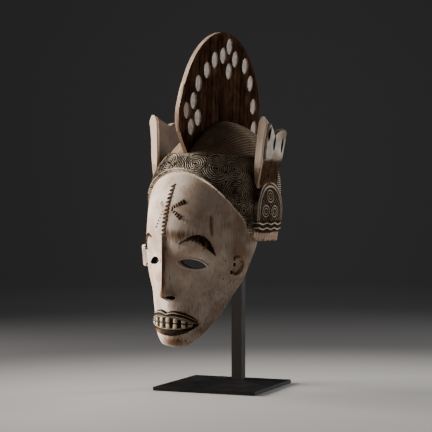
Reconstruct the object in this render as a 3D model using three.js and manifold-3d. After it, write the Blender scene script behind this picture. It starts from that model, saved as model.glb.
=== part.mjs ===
// A carved wooden maiden-spirit mask with a tall central crest and two side fins, on its steel stand.
// Millimetres, +Z up. Origin: middle of the underside of the base plate, X and Y along its sides.
// The mask is worked out in its own frame: x to its left side, y to the back, z up from the chin,
// with the plane of the nose at y = 0. The last part of the file turns it and lifts it onto the stand.
import * as THREE from "three";
import { mergeVertices } from "three/addons/utils/BufferGeometryUtils.js";
import Module from "manifold-3d";

const wasm = await Module();
wasm.setup();

// Driving dimensions of the stand and of the way the mask sits on it
const plateSide = 175;
const plateThickness = 6.3;
const plateEdge = 0.6;
const postSide = 18;
const postX = 4;
const postY = 58;
const touchGap = 0.3;
const maskTurn = -13;
const maskRoll = 3;
const postBehindNose = 211;
const pivotHeight = 180;
const chinAbovePlate = 67;

// Driving dimensions of the mask
const wall = 11;
const hairRise = 4.5;
const domeRise = 3;
const bandTop = 306;
const rimHeight = 174;
const hairBottom = 187;
const hairTop = 279;
const hairHalfWidth = 93;
const hairRoundness = 1.85;
const crownTop = 362;
const hollowSpan = [8, 352];

// Sections of the bare head from the chin to the crown. Each row holds the height, the half width,
// the y of the front, of the widest place and of the back, and the roundness of the front half
// (2 is an ellipse, less is more of a wedge).
const headRows = [
  [0, 0, 41, 41, 41, 2],
  [3, 22, 33, 47, 60, 2],
  [11, 35, 27.5, 58, 80, 1.9],
  [24, 47, 26, 69, 110, 1.8],
  [42, 58, 25, 83, 150, 1.7],
  [64, 69.5, 21, 96, 190, 1.65],
  [88, 80, 17.5, 107, 220, 1.62],
  [112, 92, 15, 115, 236, 1.66],
  [138, 100, 12.5, 121, 243, 1.67],
  [160, 101.5, 8, 126, 247, 1.74],
  [180, 99.5, 4.5, 130, 249, 1.75],
  [202, 98.5, 6.5, 134, 251, 1.82],
  [228, 98.5, 13, 138, 252, 1.9],
  [254, 97, 23.5, 142, 252, 1.95],
  [280, 92, 36.5, 145, 250, 1.95],
  [303, 78, 51.5, 148, 246, 1.85],
  [325, 63, 72, 149, 238, 1.8],
  [343, 48, 96, 150, 220, 1.95],
  [355, 30, 121, 150, 195, 2],
  [361, 13, 138, 150, 168, 2],
  [362.5, 0, 150, 150, 150, 2],
];

// Soft hollows and swellings of the face: place, spread and depth, a swelling being less than 0
const faceForms = [
  { x: 39, z: 138, spreadX: 19, spreadZ: 15, depth: 7.5 },
  { x: -39, z: 138, spreadX: 19, spreadZ: 15, depth: 7.5 },
  { x: 28, z: 39, spreadX: 24, spreadZ: 20, depth: -4 },
  { x: -28, z: 39, spreadX: 24, spreadZ: 20, depth: -4 },
];

// Smooth curve through the rows of a table: t from 0 to 1, every column on its own.
function alongRows(rows, t) {
  const last = rows.length - 1;
  const place = THREE.MathUtils.clamp(t, 0, 1) * last;
  const i = Math.min(Math.floor(place), last - 1);
  const f = place - i;
  const before = rows[Math.max(i - 1, 0)];
  const after = rows[Math.min(i + 2, last)];
  return rows[i].map((from, column) => {
    const to = rows[i + 1][column];
    const slopeFrom = (to - before[column]) / 2;
    const slopeTo = (after[column] - from) / 2;
    const bend = 2 * (from - to) + slopeFrom + slopeTo;
    return from + f * (slopeFrom + f * (3 * (to - from) - 2 * slopeFrom - slopeTo + f * bend));
  });
}

// Where in the table a height lies, from 0 to 1.
function rowPlace(height) {
  let low = 0;
  let high = 1;
  for (let step = 0; step < 30; step++) {
    const middle = (low + high) / 2;
    if (alongRows(headRows, middle)[0] < height) low = middle;
    else high = middle;
  }
  return (low + high) / 2;
}

const signedPower = (value, power) => Math.sign(value) * Math.abs(value) ** power;

function faceHollow(x, z) {
  return faceForms.reduce((depth, form) => {
    const away = ((x - form.x) / form.spreadX) ** 2 + ((z - form.z) / form.spreadZ) ** 2;
    return depth + form.depth * Math.exp(-away);
  }, 0);
}

// Point of the head at an angle round it (0 is the front, a quarter turn is the left side).
function headPoint(place, angle, rise) {
  const [height, halfWidth, front, widest, back, roundness] = alongRows(headRows, place);
  const ahead = Math.cos(angle) > 0;
  const power = ahead ? 2 / roundness : 1;
  const reach = ahead ? widest - front + rise : back - widest + rise;
  const lift = rise * Math.max(0, (place - 0.5) * 2) ** 2;
  const x = (halfWidth + rise) * signedPower(Math.sin(angle), power);
  const y = widest - reach * signedPower(Math.cos(angle), power);
  const hollow = Math.max(0, Math.cos(angle)) * faceHollow(x, height);
  return new THREE.Vector3(x, y + hollow, height + lift);
}

// Point of the face over x and z, moved out along its normal by a rise.
function facePoint(x, z, rise) {
  const place = rowPlace(z);
  const [, halfWidth, , , , roundness] = alongRows(headRows, place);
  const across = Math.min(Math.abs(x) / halfWidth, 0.999);
  const angle = Math.sign(x) * Math.asin(across ** (roundness / 2));
  return sidePoint(angle, z, rise);
}

function headNormal(angle, z) {
  const small = 0.02;
  const place = rowPlace(z);
  const along = headPoint(place, angle + small, 0).sub(headPoint(place, angle - small, 0));
  const up = headPoint(rowPlace(z + 2), angle, 0).sub(headPoint(rowPlace(z - 2), angle, 0));
  return along.cross(up).normalize();
}

function sidePoint(angle, z, rise) {
  return headPoint(rowPlace(z), angle, 0).addScaledVector(headNormal(angle, z), rise);
}

function faceNormal(x, z) {
  return facePoint(x, z, 1).sub(facePoint(x, z, 0)).normalize();
}

// Moves every vertex of a geometry to the place that a function gives for it.
function reshape(geometry, placeOf) {
  const bare = new THREE.BufferGeometry();
  bare.setAttribute("position", geometry.getAttribute("position").clone());
  if (geometry.index) bare.setIndex(geometry.index.clone());
  const position = bare.getAttribute("position");
  const vertex = new THREE.Vector3();
  for (let i = 0; i < position.count; i++) {
    vertex.fromBufferAttribute(position, i);
    position.setXYZ(i, ...placeOf(vertex).toArray());
  }
  return bare;
}

function solidOf(geometry) {
  const bare = geometry.clone();
  bare.deleteAttribute("normal");
  bare.deleteAttribute("uv");
  const merged = mergeVertices(bare, 1e-3);
  const corners = merged.index.array;
  const triVerts = [];
  for (let i = 0; i < corners.length; i += 3) {
    const [a, b, c] = corners.slice(i, i + 3);
    if (a !== b && b !== c && c !== a) triVerts.push(a, b, c);
  }
  return new wasm.Manifold(
    new wasm.Mesh({
      numProp: 3,
      vertProperties: new Float32Array(merged.attributes.position.array),
      triVerts: new Uint32Array(triVerts),
    }),
  );
}

function geometryOf(solid) {
  const { numProp, vertProperties, triVerts } = solid.getMesh();
  const positions = new Float32Array((vertProperties.length / numProp) * 3);
  for (let i = 0; i < positions.length / 3; i++) {
    positions.set(vertProperties.slice(i * numProp, i * numProp + 3), i * 3);
  }
  const geometry = new THREE.BufferGeometry();
  geometry.setAttribute("position", new THREE.BufferAttribute(positions, 3));
  geometry.setIndex(new THREE.BufferAttribute(new Uint32Array(triVerts), 1));
  return geometry;
}

const joined = (solids) => solids.reduce((whole, solid) => whole.add(solid));

// The same solid on the other side of the mask: a reflection also turns each face round.
function mirrored(solid) {
  const geometry = geometryOf(solid).scale(-1, 1, 1);
  const corners = geometry.index.array;
  for (let i = 0; i < corners.length; i += 3) {
    [corners[i], corners[i + 1]] = [corners[i + 1], corners[i]];
  }
  return solidOf(geometry);
}

const bothSides = (solid) => solid.add(mirrored(solid));

// A closed form of the head between two heights, with finer faces at the front.
function headForm(rise, bottom, top, around, rows, frontBias) {
  const from = rowPlace(bottom);
  const to = rowPlace(top);
  const ball = new THREE.SphereGeometry(1, around, rows).rotateX(Math.PI / 2);
  return reshape(ball, (v) => {
    const level = 1 - Math.acos(THREE.MathUtils.clamp(v.z, -1, 1)) / Math.PI;
    const turn = Math.atan2(v.x, -v.y);
    const ring = THREE.MathUtils.clamp((level * rows - 1) / (rows - 2), 0, 1);
    const place = THREE.MathUtils.lerp(from, to, ring);
    if (level < 1e-4 || level > 1 - 1e-4) {
      const [height, , front, , back] = alongRows(headRows, place);
      const lift = level > 0.5 ? 0.2 : -0.2;
      return new THREE.Vector3(0, (front + back) / 2, height + lift + (place > 0.5 ? rise : 0));
    }
    return headPoint(place, turn - frontBias * Math.sin(turn), rise);
  });
}

// A prism across the mask with an outline given as y, z pairs.
function sidePrism(outline, halfWidth, bevel = 0) {
  const shape = new THREE.Shape(outline.map(([y, z]) => new THREE.Vector2(y, z)));
  const slab = new THREE.ExtrudeGeometry(shape, {
    depth: 2 * (halfWidth - bevel),
    bevelEnabled: bevel > 0,
    bevelSize: bevel,
    bevelOffset: -bevel,
    bevelThickness: bevel,
    bevelSegments: 1,
    curveSegments: 1,
  });
  return reshape(slab, (v) => new THREE.Vector3(v.z - halfWidth + bevel, v.x, v.y));
}

// A strip laid along a path: the path gives a point and the way out, and the section is an oval.
function laid(blank, paramOf, path, halfWidth, height) {
  const step = 0.004;
  return reshape(blank, (v) => {
    const { t, across, out } = paramOf(v);
    const { point, normal } = path(t);
    const tangent = path(t + step).point.sub(path(t - step).point).normalize();
    const sideways = tangent.clone().cross(normal).normalize();
    return point
      .clone()
      .addScaledVector(sideways, across * halfWidth(t))
      .addScaledVector(normal, out * height(t));
  });
}

function strip(path, halfWidth, height, sides, steps) {
  const blank = new THREE.CylinderGeometry(1, 1, 1, sides, steps);
  const paramOf = (v) => ({ t: v.y + 0.5, across: v.x, out: v.z });
  return laid(blank, paramOf, path, halfWidth, height);
}

function ring(path, halfWidth, height, sides, steps) {
  const blank = new THREE.TorusGeometry(3, 1, sides, steps);
  const paramOf = (v) => ({
    t: Math.atan2(v.y, v.x) / (2 * Math.PI),
    across: Math.hypot(v.x, v.y) - 3,
    out: v.z,
  });
  return laid(blank, paramOf, path, halfWidth, height);
}

const onFace = (curve, rise) => (t) => {
  const [x, z] = curve(t);
  return { point: facePoint(x, z, rise), normal: faceNormal(x, z) };
};
const always = (value) => () => value;

// Face: eyes, brows, nose, mouth, ears and the raised scars of the forehead. Left and right are the
// mask's own. They were cut freehand and differ a little.
const eyes = [
  { side: 1, x: 37.5, z: 135.4, halfLength: 19.5, above: 7, below: 7, tilt: -9 },
  { side: -1, x: -33.5, z: 134.5, halfLength: 18, above: 8, below: 4.2, tilt: 9 },
];
const eyeEdge = { halfWidth: 2, rise: 1.5, steps: 10 };
const eyeHole = { corners: 10, front: -5, back: 105, spread: 0.15, straight: 35 };
const brows = [
  { inner: [24, 166], apex: [50, 175], outer: [68.5, 150], thickness: 13 },
  { inner: [-33, 174], apex: [-52, 174], outer: [-58.5, 152], thickness: 9 },
];
const browCut = { root: 0.6, rise: 2.9, end: 0.7, lean: 1.4, steps: 8 };
const nose = {
  top: 178,
  tip: 80,
  tipY: 4.5,
  topY: 0.5,
  halfWidthTop: 4.5,
  halfWidthLow: 8.5,
  halfWidthWing: 16,
  wingsFrom: 0.72,
  ridgeRoundness: 1.15,
  bend: -1.6,
  wingLift: 4.4,
  underside: 9,
  root: 4,
  depth: 8,
};
const nostrils = { x: 9, y: 15.5, z: 80.5, size: [7, 9, 4.2] };
const mouth = {
  z: 40.4,
  halfWidth: 43,
  upper: 18.5,
  lower: 20.3,
  notch: 3.2,
  notchHalf: 5.5,
  innerHalf: 36.5,
  innerUpper: 9.6,
  innerLower: 9.4,
  rise: 6,
  endRise: 0.5,
  overlap: 0.9,
  gum: 3.4,
  root: 1.5,
};
const tooth = {
  places: [-31.5, -20.8, -9, 2.8, 14.5, 25.6, 33],
  width: 6.4,
  rise: 5.1,
  depth: 8,
  parting: 0.9,
  clearance: 1.6,
};
const scar = { top: 258, bottom: 177, bars: 13, bar: 0.42, halfWidth: 4.4, rise: 2.2, aside: -1.6 };
const scarGround = { rise: 0.3, root: -6 };
// Slanting rows: where each starts, its lean, its length and the width and length of a tick
const scarRows = [
  { x: 6, z: 221, lean: 31, length: 24, ticks: 6, size: [2, 7.2], rise: 1 },
  { x: 6.5, z: 220, lean: -36, length: 24, ticks: 5, size: [2.2, 6.4], rise: 1 },
  { x: -9, z: 222, lean: 137, length: 13, ticks: 4, size: [1.5, 5], rise: 0.85 },
];
const tickGrowth = [0.65, 1.15];
const tickDepth = 3.2;
const ears = [
  { side: 1, angle: 64.5, z: 135, halfHeight: 14, rise: 7.2 },
  { side: -1, angle: -57.5, z: 140.5, halfHeight: 15.5, rise: 10 },
];
const earEdge = { halfWidth: 8.5, girth: 106, thickness: 2.6, from: 135, to: -125, steps: 7 };

// Almond outline of an eye, t once round it.
function almond(eye, grow, t) {
  const turn = 2 * Math.PI * t;
  const lean = THREE.MathUtils.degToRad(eye.tilt);
  const halfHeight = Math.sin(turn) > 0 ? eye.above : eye.below;
  const along = (eye.halfLength + grow) * Math.cos(turn);
  const up = (halfHeight + grow) * signedPower(Math.sin(turn), 1.3);
  return [
    eye.x + along * Math.cos(lean) - up * Math.sin(lean),
    eye.z + along * Math.sin(lean) + up * Math.cos(lean),
  ];
}

function eyeRim(eye) {
  const { halfWidth, rise, steps } = eyeEdge;
  const curve = (t) => almond(eye, halfWidth, t);
  return solidOf(ring(onFace(curve, 0), always(halfWidth), always(rise), 4, steps));
}

function eyeSlit(eye) {
  const { corners, front, back, spread, straight } = eyeHole;
  const places = Array.from({ length: corners }, (_, i) => almond(eye, 0, i / corners));
  const shape = new THREE.Shape(places.map((place) => new THREE.Vector2(...place)));
  const through = new THREE.ExtrudeGeometry(shape, { depth: back - front, bevelEnabled: false });
  const hole = reshape(through, (v) => {
    const y = back - v.z;
    return new THREE.Vector3(v.x - eye.side * spread * (y - straight), y, v.y);
  });
  return solidOf(hole);
}

// A crescent: a curve through three places whose thickness grows and falls off again.
function browCrescent({ inner, apex, outer, thickness }) {
  const middle = apex.map((value, i) => 2 * value - (inner[i] + outer[i]) / 2);
  const curve = (t) =>
    inner.map((value, i) => {
      const u = 1 - t;
      return u * u * value + 2 * u * t * middle[i] + t * t * outer[i];
    });
  const swell = (t) => {
    const along = THREE.MathUtils.clamp(t, 0, 1) ** browCut.lean;
    return browCut.end + (thickness / 2) * Math.sin(Math.PI * along) ** 1.15;
  };
  const path = onFace(curve, -browCut.root);
  return solidOf(strip(path, swell, always(browCut.rise), 4, browCut.steps));
}

// The nose is a long wedge: its ridge runs straight from the brow to the tip, its wings flare below
// and are cut up a little, and the underside slopes back to the lip.
function noseWedge() {
  const blank = new THREE.BoxGeometry(1, 1, 1, 6, 1, 6);
  return reshape(blank, (v) => {
    const down = 0.5 - v.z;
    const flare = Math.max(0, (down - nose.wingsFrom) / (1 - nose.wingsFrom));
    const end = THREE.MathUtils.clamp((down - 0.8) / 0.2, 0, 1);
    const straight = THREE.MathUtils.lerp(nose.halfWidthTop, nose.halfWidthLow, down);
    const halfWidth = straight + (nose.halfWidthWing - nose.halfWidthLow) * flare ** 1.6;
    const across = 2 * v.x;
    const aside = Math.abs(across);
    const z = THREE.MathUtils.lerp(nose.top, nose.tip, down);
    const ridge = THREE.MathUtils.lerp(nose.topY, nose.tipY, down);
    const base = facePoint(across * halfWidth * 1.25, z, -nose.root).y;
    const x = across * halfWidth * 1.1 + nose.bend * (1 - down);
    if (v.y > 0) {
      return new THREE.Vector3(x * (1 - 0.35 * end), base + nose.depth, z - nose.underside * end * end);
    }
    const swell = Math.max(0, 1 - aside ** (nose.ridgeRoundness + flare)) ** 0.9;
    const front = THREE.MathUtils.lerp(base, ridge, swell);
    const edge = 1 - 0.4 * THREE.MathUtils.clamp((aside - 0.75) / 0.25, 0, 1);
    const lift = nose.wingLift * THREE.MathUtils.clamp((aside - 0.08) / 0.2, 0, 1) * edge;
    return new THREE.Vector3(x, front, z + lift * end);
  });
}

function nostril(side) {
  const ball = new THREE.SphereGeometry(1, 8, 5);
  const size = new THREE.Vector3(...nostrils.size);
  const centre = new THREE.Vector3(side * nostrils.x, nostrils.y, nostrils.z);
  return solidOf(reshape(ball, (v) => v.clone().multiply(size).add(centre)));
}

// The mouth is a spindle of two lips round two rows of teeth. These are the heights of a lip's outer
// and inner edge over the middle of the mouth.
function lipEdges(x, isUpper) {
  const wide = Math.min(Math.abs(x) / mouth.halfWidth, 1);
  const narrow = Math.min(Math.abs(x) / mouth.innerHalf, 1);
  if (!isUpper) {
    const outer = mouth.lower * (1 - wide ** 2.2) ** 0.8;
    return [outer, mouth.innerLower * (1 - narrow ** 2) ** 0.42];
  }
  const notch = mouth.notch * Math.exp(-((x / mouth.notchHalf) ** 2));
  const outer = mouth.upper * (1 - wide ** 3) ** 0.62 - notch;
  return [outer, mouth.innerUpper * (1 - narrow ** 2) ** 0.75];
}

const mouthSwell = (x) => Math.max(0, 1 - (Math.abs(x) / mouth.halfWidth) ** 2.4) ** 0.6;

// Steps along the mouth, closer together near its corners
const mouthX = (t) => mouth.halfWidth * (1.3 * (2 * t - 1) - 0.3 * (2 * t - 1) ** 3);

function lip(isUpper) {
  const curve = (t) => {
    const [outer, inner] = lipEdges(mouthX(t), isUpper);
    return [mouthX(t), mouth.z + ((isUpper ? 1 : -1) * (outer + inner)) / 2];
  };
  const swell = (t) => {
    const [outer, inner] = lipEdges(mouthX(t), isUpper);
    return mouth.overlap + (outer - inner) / 2;
  };
  const top = (t) => mouth.root + mouth.endRise + (mouth.rise - mouth.endRise) * mouthSwell(mouthX(t));
  return solidOf(strip(onFace(curve, -mouth.root), swell, top, 6, 10));
}

// Low ground that the teeth stand on, between the lips
function gum() {
  const reach = 0.97;
  const curve = (t) => [reach * mouthX(t), mouth.z];
  const swell = (t) => mouth.root + 1.25 * lipEdges(reach * mouthX(t), false)[1];
  const top = (t) => 0.2 + (mouth.gum + mouth.root) * mouthSwell(reach * mouthX(t));
  return solidOf(strip(onFace(curve, -mouth.root), swell, top, 4, 8));
}

function teeth() {
  const pieces = [];
  for (const row of [1, -1]) {
    for (const x of tooth.places) {
      const half = (lipEdges(x, row > 0)[1] - tooth.clearance) / 2;
      const z = mouth.z + row * (half + tooth.parting);
      const normal = faceNormal(x, z);
      const turn = Math.atan2(-normal.x, -normal.y);
      const front = tooth.rise * mouthSwell(x);
      const block = new THREE.BoxGeometry(tooth.width, tooth.depth, 2 * half).rotateZ(-turn);
      pieces.push(solidOf(block.translate(...facePoint(x, z, front - tooth.depth / 2))));
    }
  }
  return joined(pieces);
}

// Forehead: a raised line down the middle, cut across into bars, and slanting rows beside it.
function scars() {
  const pitch = (scar.top - scar.bottom) / scar.bars;
  const ahead = (z, rise) => [facePoint(scar.aside, z, rise).y, z];
  const outline = [ahead(scar.bottom, scarGround.root)];
  for (let i = 0; i < scar.bars; i++) {
    const low = scar.bottom + i * pitch;
    const high = low + scar.bar * pitch;
    outline.push(ahead(low, scarGround.rise), ahead(low, scar.rise));
    outline.push(ahead(high, scar.rise), ahead(high, scarGround.rise));
  }
  outline.push(ahead(scar.top - (1 - scar.bar) * pitch, scarGround.root));
  return solidOf(sidePrism(outline, scar.halfWidth)).translate(scar.aside, 0, 0);
}

function slantingScars() {
  const pieces = scarRows.flatMap((row) => {
    const lean = THREE.MathUtils.degToRad(row.lean);
    return Array.from({ length: row.ticks }, (_, i) => {
      const along = ((i + 0.5) / row.ticks) * row.length;
      const grow = THREE.MathUtils.lerp(...tickGrowth, i / (row.ticks - 1));
      const x = row.x + along * Math.cos(lean);
      const z = row.z + along * Math.sin(lean);
      const tick = new THREE.BoxGeometry(row.size[0] * grow, tickDepth, row.size[1] * grow);
      const deep = facePoint(x, z, row.rise).y + tickDepth / 2;
      return solidOf(tick.rotateY(-lean).translate(x, deep, z));
    });
  });
  return joined(pieces);
}

function earShell(ear) {
  const { halfWidth, girth, thickness, from, to, steps } = earEdge;
  const path = (t) => {
    const turn = THREE.MathUtils.degToRad(THREE.MathUtils.lerp(from, to, t));
    const aside = (ear.side * halfWidth * Math.cos(turn)) / girth;
    const angle = THREE.MathUtils.degToRad(ear.angle) + aside;
    const z = ear.z + ear.halfHeight * Math.sin(turn);
    return { point: sidePoint(angle, z, 0), normal: headNormal(angle, z) };
  };
  const top = (t) => ear.rise * (0.5 + 0.5 * Math.sin(Math.PI * THREE.MathUtils.clamp(t, 0, 1)) ** 0.6);
  return solidOf(strip(path, always(thickness), top, 4, steps));
}

// Coiffure: a raised cap of hair that ends in a ridge along the hairline
function hairlineHeight(x) {
  const across = Math.min(Math.abs(x) / hairHalfWidth, 1);
  return hairBottom + (hairTop - hairBottom) * (1 - across ** hairRoundness) ** (1 / hairRoundness);
}

function faceWindow() {
  const corners = 18;
  const shape = new THREE.Shape();
  shape.moveTo(-hairHalfWidth, 90);
  for (let i = 0; i <= corners; i++) {
    const x = -hairHalfWidth * Math.cos((Math.PI * i) / corners);
    shape.lineTo(x, hairlineHeight(x));
  }
  shape.lineTo(hairHalfWidth, 90);
  const block = new THREE.ExtrudeGeometry(shape, { depth: 170, bevelEnabled: false });
  return solidOf(reshape(block, (v) => new THREE.Vector3(v.x, 120 - v.z, v.y)));
}

// Round medallions of ridges, carved in a row round the band and down the temples
const medallion = { depth: 2.4, root: -4, sides: 8 };
const medallionPlaces = [
  { degrees: 17.5, z: 290, ridge: 5.5 },
  { degrees: 37.5, z: 284, ridge: 7.5 },
  { degrees: 53.5, z: 284, ridge: 7 },
  { degrees: 58, z: 249, ridge: 7.5 },
  { degrees: 66.5, z: 220, ridge: 6.5 },
];

function hairMedallion({ degrees, z, ridge }) {
  const angle = THREE.MathUtils.degToRad(degrees);
  const peak = hairRise + medallion.depth;
  const profile = [
    [0, medallion.root],
    [2.3, medallion.root],
    [2.3, hairRise],
    [1.75, peak],
    [1, hairRise - 0.4],
    [0, peak],
  ].map(([reach, height]) => new THREE.Vector2(reach * ridge, height));
  const disc = new THREE.LatheGeometry(profile, medallion.sides);
  const spin = new THREE.Quaternion();
  spin.setFromUnitVectors(new THREE.Vector3(0, 1, 0), headNormal(angle, z));
  const centre = sidePoint(angle, z, 0);
  return solidOf(reshape(disc, (v) => v.clone().applyQuaternion(spin).add(centre)));
}

// Central crest: a thin egg-shaped plate, grooved up and down, with leaf-shaped hollows round its
// edge. It juts forward a little above the hair.
const crest = {
  y: 142,
  z: 378,
  halfLength: 110.5,
  up: 132,
  down: 113,
  halfThickness: 4.6,
  bevel: 0.8,
  corners: 32,
  slimming: 1.07,
  chin: 8.2,
  chinHeight: 355,
  chinSpread: 45,
};
const leaf = { length: 29, width: 19, depth: 1.4, corners: 6 };
const groove = { pitch: 17, width: 5.5, depth: 1.4, count: 7, reach: 0.62, below: 60 };
// Place of each leaf: y and z of its middle
const leafPlaces = [
  [155.7, 488.1],
  [138.4, 471.6],
  [115.6, 462.5],
  [173, 469.1],
  [156.3, 447.6],
  [202.9, 460.5],
  [95, 444.4],
  [73.2, 421.3],
  [221.1, 432.8],
  [61.7, 392.7],
  [232.8, 394.6],
  [44.9, 376.4],
  [75.2, 366.7],
  [58.1, 351.1],
  [237.5, 357.1],
];

function crestPoint(degrees) {
  const turn = THREE.MathUtils.degToRad(degrees);
  const slim = Math.cos(turn) < 0 && Math.sin(turn) > 0 ? crest.slimming : 1;
  const tall = Math.sin(turn) > 0 ? crest.up : crest.down;
  const along = signedPower(Math.cos(turn), slim);
  const z = crest.z + tall * signedPower(Math.sin(turn), slim);
  const swell = Math.exp(-(((z - crest.chinHeight) / crest.chinSpread) ** 2));
  return [crest.y + crest.halfLength * along - crest.chin * swell * Math.max(0, -along) ** 2, z];
}

function crestPlate() {
  const outline = Array.from({ length: crest.corners }, (_, i) => crestPoint((360 * i) / crest.corners));
  return solidOf(sidePrism(outline, crest.halfThickness, crest.bevel));
}

function leafOutline(length, width, y, z) {
  return Array.from({ length: leaf.corners }, (_, i) => {
    const turn = (2 * Math.PI * i) / leaf.corners;
    return [
      y + (width / 2) * signedPower(Math.cos(turn), 1.3),
      z + (length / 2) * signedPower(Math.sin(turn), 0.9),
    ];
  });
}

function crestHollows() {
  const cutter = 2;
  const pieces = leafPlaces.map(([y, z]) => {
    const lens = solidOf(sidePrism(leafOutline(leaf.length, leaf.width, y, z), cutter));
    return lens.translate(crest.halfThickness - leaf.depth + cutter, 0, 0);
  });
  return joined(pieces);
}

function crestGrooves() {
  const pieces = [];
  for (let i = 0; i < groove.count; i++) {
    const y = crest.y + (i - (groove.count - 1) / 2) * groove.pitch;
    const across = (y - crest.y) / (0.9 * crest.halfLength);
    const tall = crest.up * groove.reach * Math.sqrt(1 - across * across);
    const half = groove.width / 2;
    const length = tall + groove.below;
    const blank = new THREE.CylinderGeometry(half, half, length, 4, 1).rotateX(Math.PI / 2);
    const squeezed = blank.scale(groove.depth / half, 1, 1);
    pieces.push(solidOf(squeezed.translate(crest.halfThickness, y, crest.z + tall - length / 2)));
  }
  return joined(pieces);
}

// Side fins: thin upright plates that lean outward and thicken from a point at the foot to the top.
// Each row holds a height, the x of the middle and half the thickness at the front edge.
const finRows = [
  [258, 101, 0.8],
  [268, 101.3, 3.4],
  [283, 101.9, 5.5],
  [305, 103.6, 7.1],
  [328, 105.2, 7],
  [345, 107, 7.5],
  [361, 109.3, 8.3],
  [372, 109.6, 3.5],
];
const fin = { foot: 258, front: 104, footFront: 109, depth: 70, toeIn: 3, thinning: 0.4 };
// The upper edge of each fin from front to back, and the back edge of both, as y and z
const finTops = [
  {
    side: 1,
    edge: [
      [104, 371.5],
      [109, 366.5],
      [115, 360],
      [125.5, 352.5],
      [136.5, 342.5],
      [142, 348.5],
      [152.8, 353],
      [166, 355],
      [172, 351],
    ],
  },
  {
    side: -1,
    edge: [
      [104, 371.5],
      [111.5, 368],
      [120, 364],
      [129, 360],
      [143.5, 355.5],
      [152, 360],
      [161, 362],
      [169, 361],
      [173.5, 354],
    ],
  },
];
const finBack = [
  [173.5, 346],
  [174, 336],
  [170.5, 313],
  [168.5, 303],
  [167, 296],
  [166, 275],
  [166, fin.foot],
];
const column = { bottom: 303, front: 110.5, proud: 0.42, inset: 1.5, slitFloor: 0.7 };
const slit = { length: 25, width: 7, places: [[116, 344], [137.2, 330.4], [164.5, 328.3]] };
const rib = { count: 3, first: 117, last: 160, z: 281, length: 44, halfWidth: 3.4, squeeze: 0.5 };

// The middle plane and half thickness of a fin at a place on it
function finAt(y, z) {
  const above = finRows.findIndex(([height]) => height > z);
  const i = above < 0 ? finRows.length - 2 : Math.max(above - 1, 0);
  const [low, lowX, lowHalf] = finRows[i];
  const [high, highX, highHalf] = finRows[i + 1];
  const up = THREE.MathUtils.clamp((z - low) / (high - low), 0, 1);
  const along = (y - fin.front) / fin.depth;
  return {
    middle: THREE.MathUtils.lerp(lowX, highX, up) - fin.toeIn * along,
    half: THREE.MathUtils.lerp(lowHalf, highHalf, up) * (1 - fin.thinning * along),
  };
}

// Takes a prism across the fin, from -1 at its inner face to 1 at its outer one, onto the fin.
function ontoFin(outline, from, to) {
  const blank = sidePrism(outline, 1);
  return solidOf(
    reshape(blank, (v) => {
      const { middle, half } = finAt(v.y, v.z);
      return new THREE.Vector3(middle + (v.x < 0 ? from : to) * half, v.y, v.z);
    }),
  );
}

function finPlate(top) {
  const front = finRows.slice(1, -1).map(([z]) => [fin.front, z]);
  return ontoFin([[fin.footFront, fin.foot], ...front, ...top, ...finBack], -1, 1);
}

function finColumn(top) {
  const lowered = top.slice(2).map(([y, z]) => [y, z - column.inset]);
  const back = finBack.slice(0, 4).map(([y, z]) => [y - column.inset, z]);
  const outline = [
    [column.front, column.bottom + 1],
    [column.front, 328],
    [column.front, 350],
    ...lowered,
    ...back,
    [150, column.bottom - 1],
    [130, column.bottom],
  ];
  const cuts = slit.places.map(([y, z]) => {
    return ontoFin(leafOutline(slit.length, slit.width, y, z), column.slitFloor, 2);
  });
  return ontoFin(outline, 0, 1 + column.proud).subtract(joined(cuts));
}

function finRibs() {
  const pieces = Array.from({ length: rib.count }, (_, i) => {
    const y = THREE.MathUtils.lerp(rib.first, rib.last, i / (rib.count - 1));
    const blank = new THREE.CylinderGeometry(rib.halfWidth, rib.halfWidth, rib.length, 4, 1);
    blank.rotateX(Math.PI / 2).translate(0, y, rib.z);
    const bent = reshape(blank, (v) => {
      const { middle, half } = finAt(v.y, v.z);
      return new THREE.Vector3(middle + half + rib.squeeze * v.x, v.y, v.z);
    });
    return solidOf(bent);
  });
  return joined(pieces);
}

function finsOfBothSides() {
  const fins = finTops.map(({ side, edge }) => {
    const whole = joined([finPlate(edge), finColumn(edge), finRibs()]);
    return side > 0 ? whole : mirrored(whole);
  });
  return joined(fins);
}

// Side panels below the fins: a shield under a double arch, with rings, and two wavy ridges below.
// A panel swells a little in its middle and falls away behind the widest place of the head.
const panel = {
  y: 144.5,
  halfLength: 38.5,
  spring: 222,
  rise: 48,
  foot: 206,
  proud: 2.6,
  floor: 0.9,
  root: 9,
  bowHalf: 60,
  swell: 2.4,
  swellHeight: 222,
  swellHalf: 48,
  fallAway: 0.0016,
};
const panelArches = [0, -3.5, -7, -10.5];
const panelRings = [
  [142, 246, 9.5],
  [129, 222, 9],
  [155, 222, 9],
];
const waves = { heights: [202, 194], from: 110, to: 180, pitch: 23, swing: 1.2, halfWidth: 2.2 };
const bareEdge = { front: 104, back: 178, top: 191, topBack: 181.5, proud: -1.5 };
const skirt = [
  [107, 189],
  [181.5, 189],
  [183, 208],
  [107, 208],
];

function panelSide(y, z, rise) {
  const [, halfWidth, , widest] = alongRows(headRows, rowPlace(z));
  const bow = 1 - ((y - panel.y) / panel.bowHalf) ** 2;
  const swell = panel.swell * Math.max(0, 1 - ((z - panel.swellHeight) / panel.swellHalf) ** 2);
  const back = Math.max(0, y - widest);
  return halfWidth + hairRise + rise + swell * bow - panel.fallAway * back * back;
}

// Takes a prism across the side of the head, its inner and outer faces at two rises over it.
function ontoSide(outline, inner, outer) {
  const blank = sidePrism(outline, 1);
  return solidOf(
    reshape(blank, (v) => {
      return new THREE.Vector3(panelSide(v.y, v.z, v.x < 0 ? inner : outer), v.y, v.z);
    }),
  );
}

const sideways = new THREE.Vector3(1, 0, 0);
const onSide = (curve, rise) => (t) => {
  const [y, z] = curve(t);
  return { point: new THREE.Vector3(panelSide(y, z, rise), y, z), normal: sideways };
};

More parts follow.
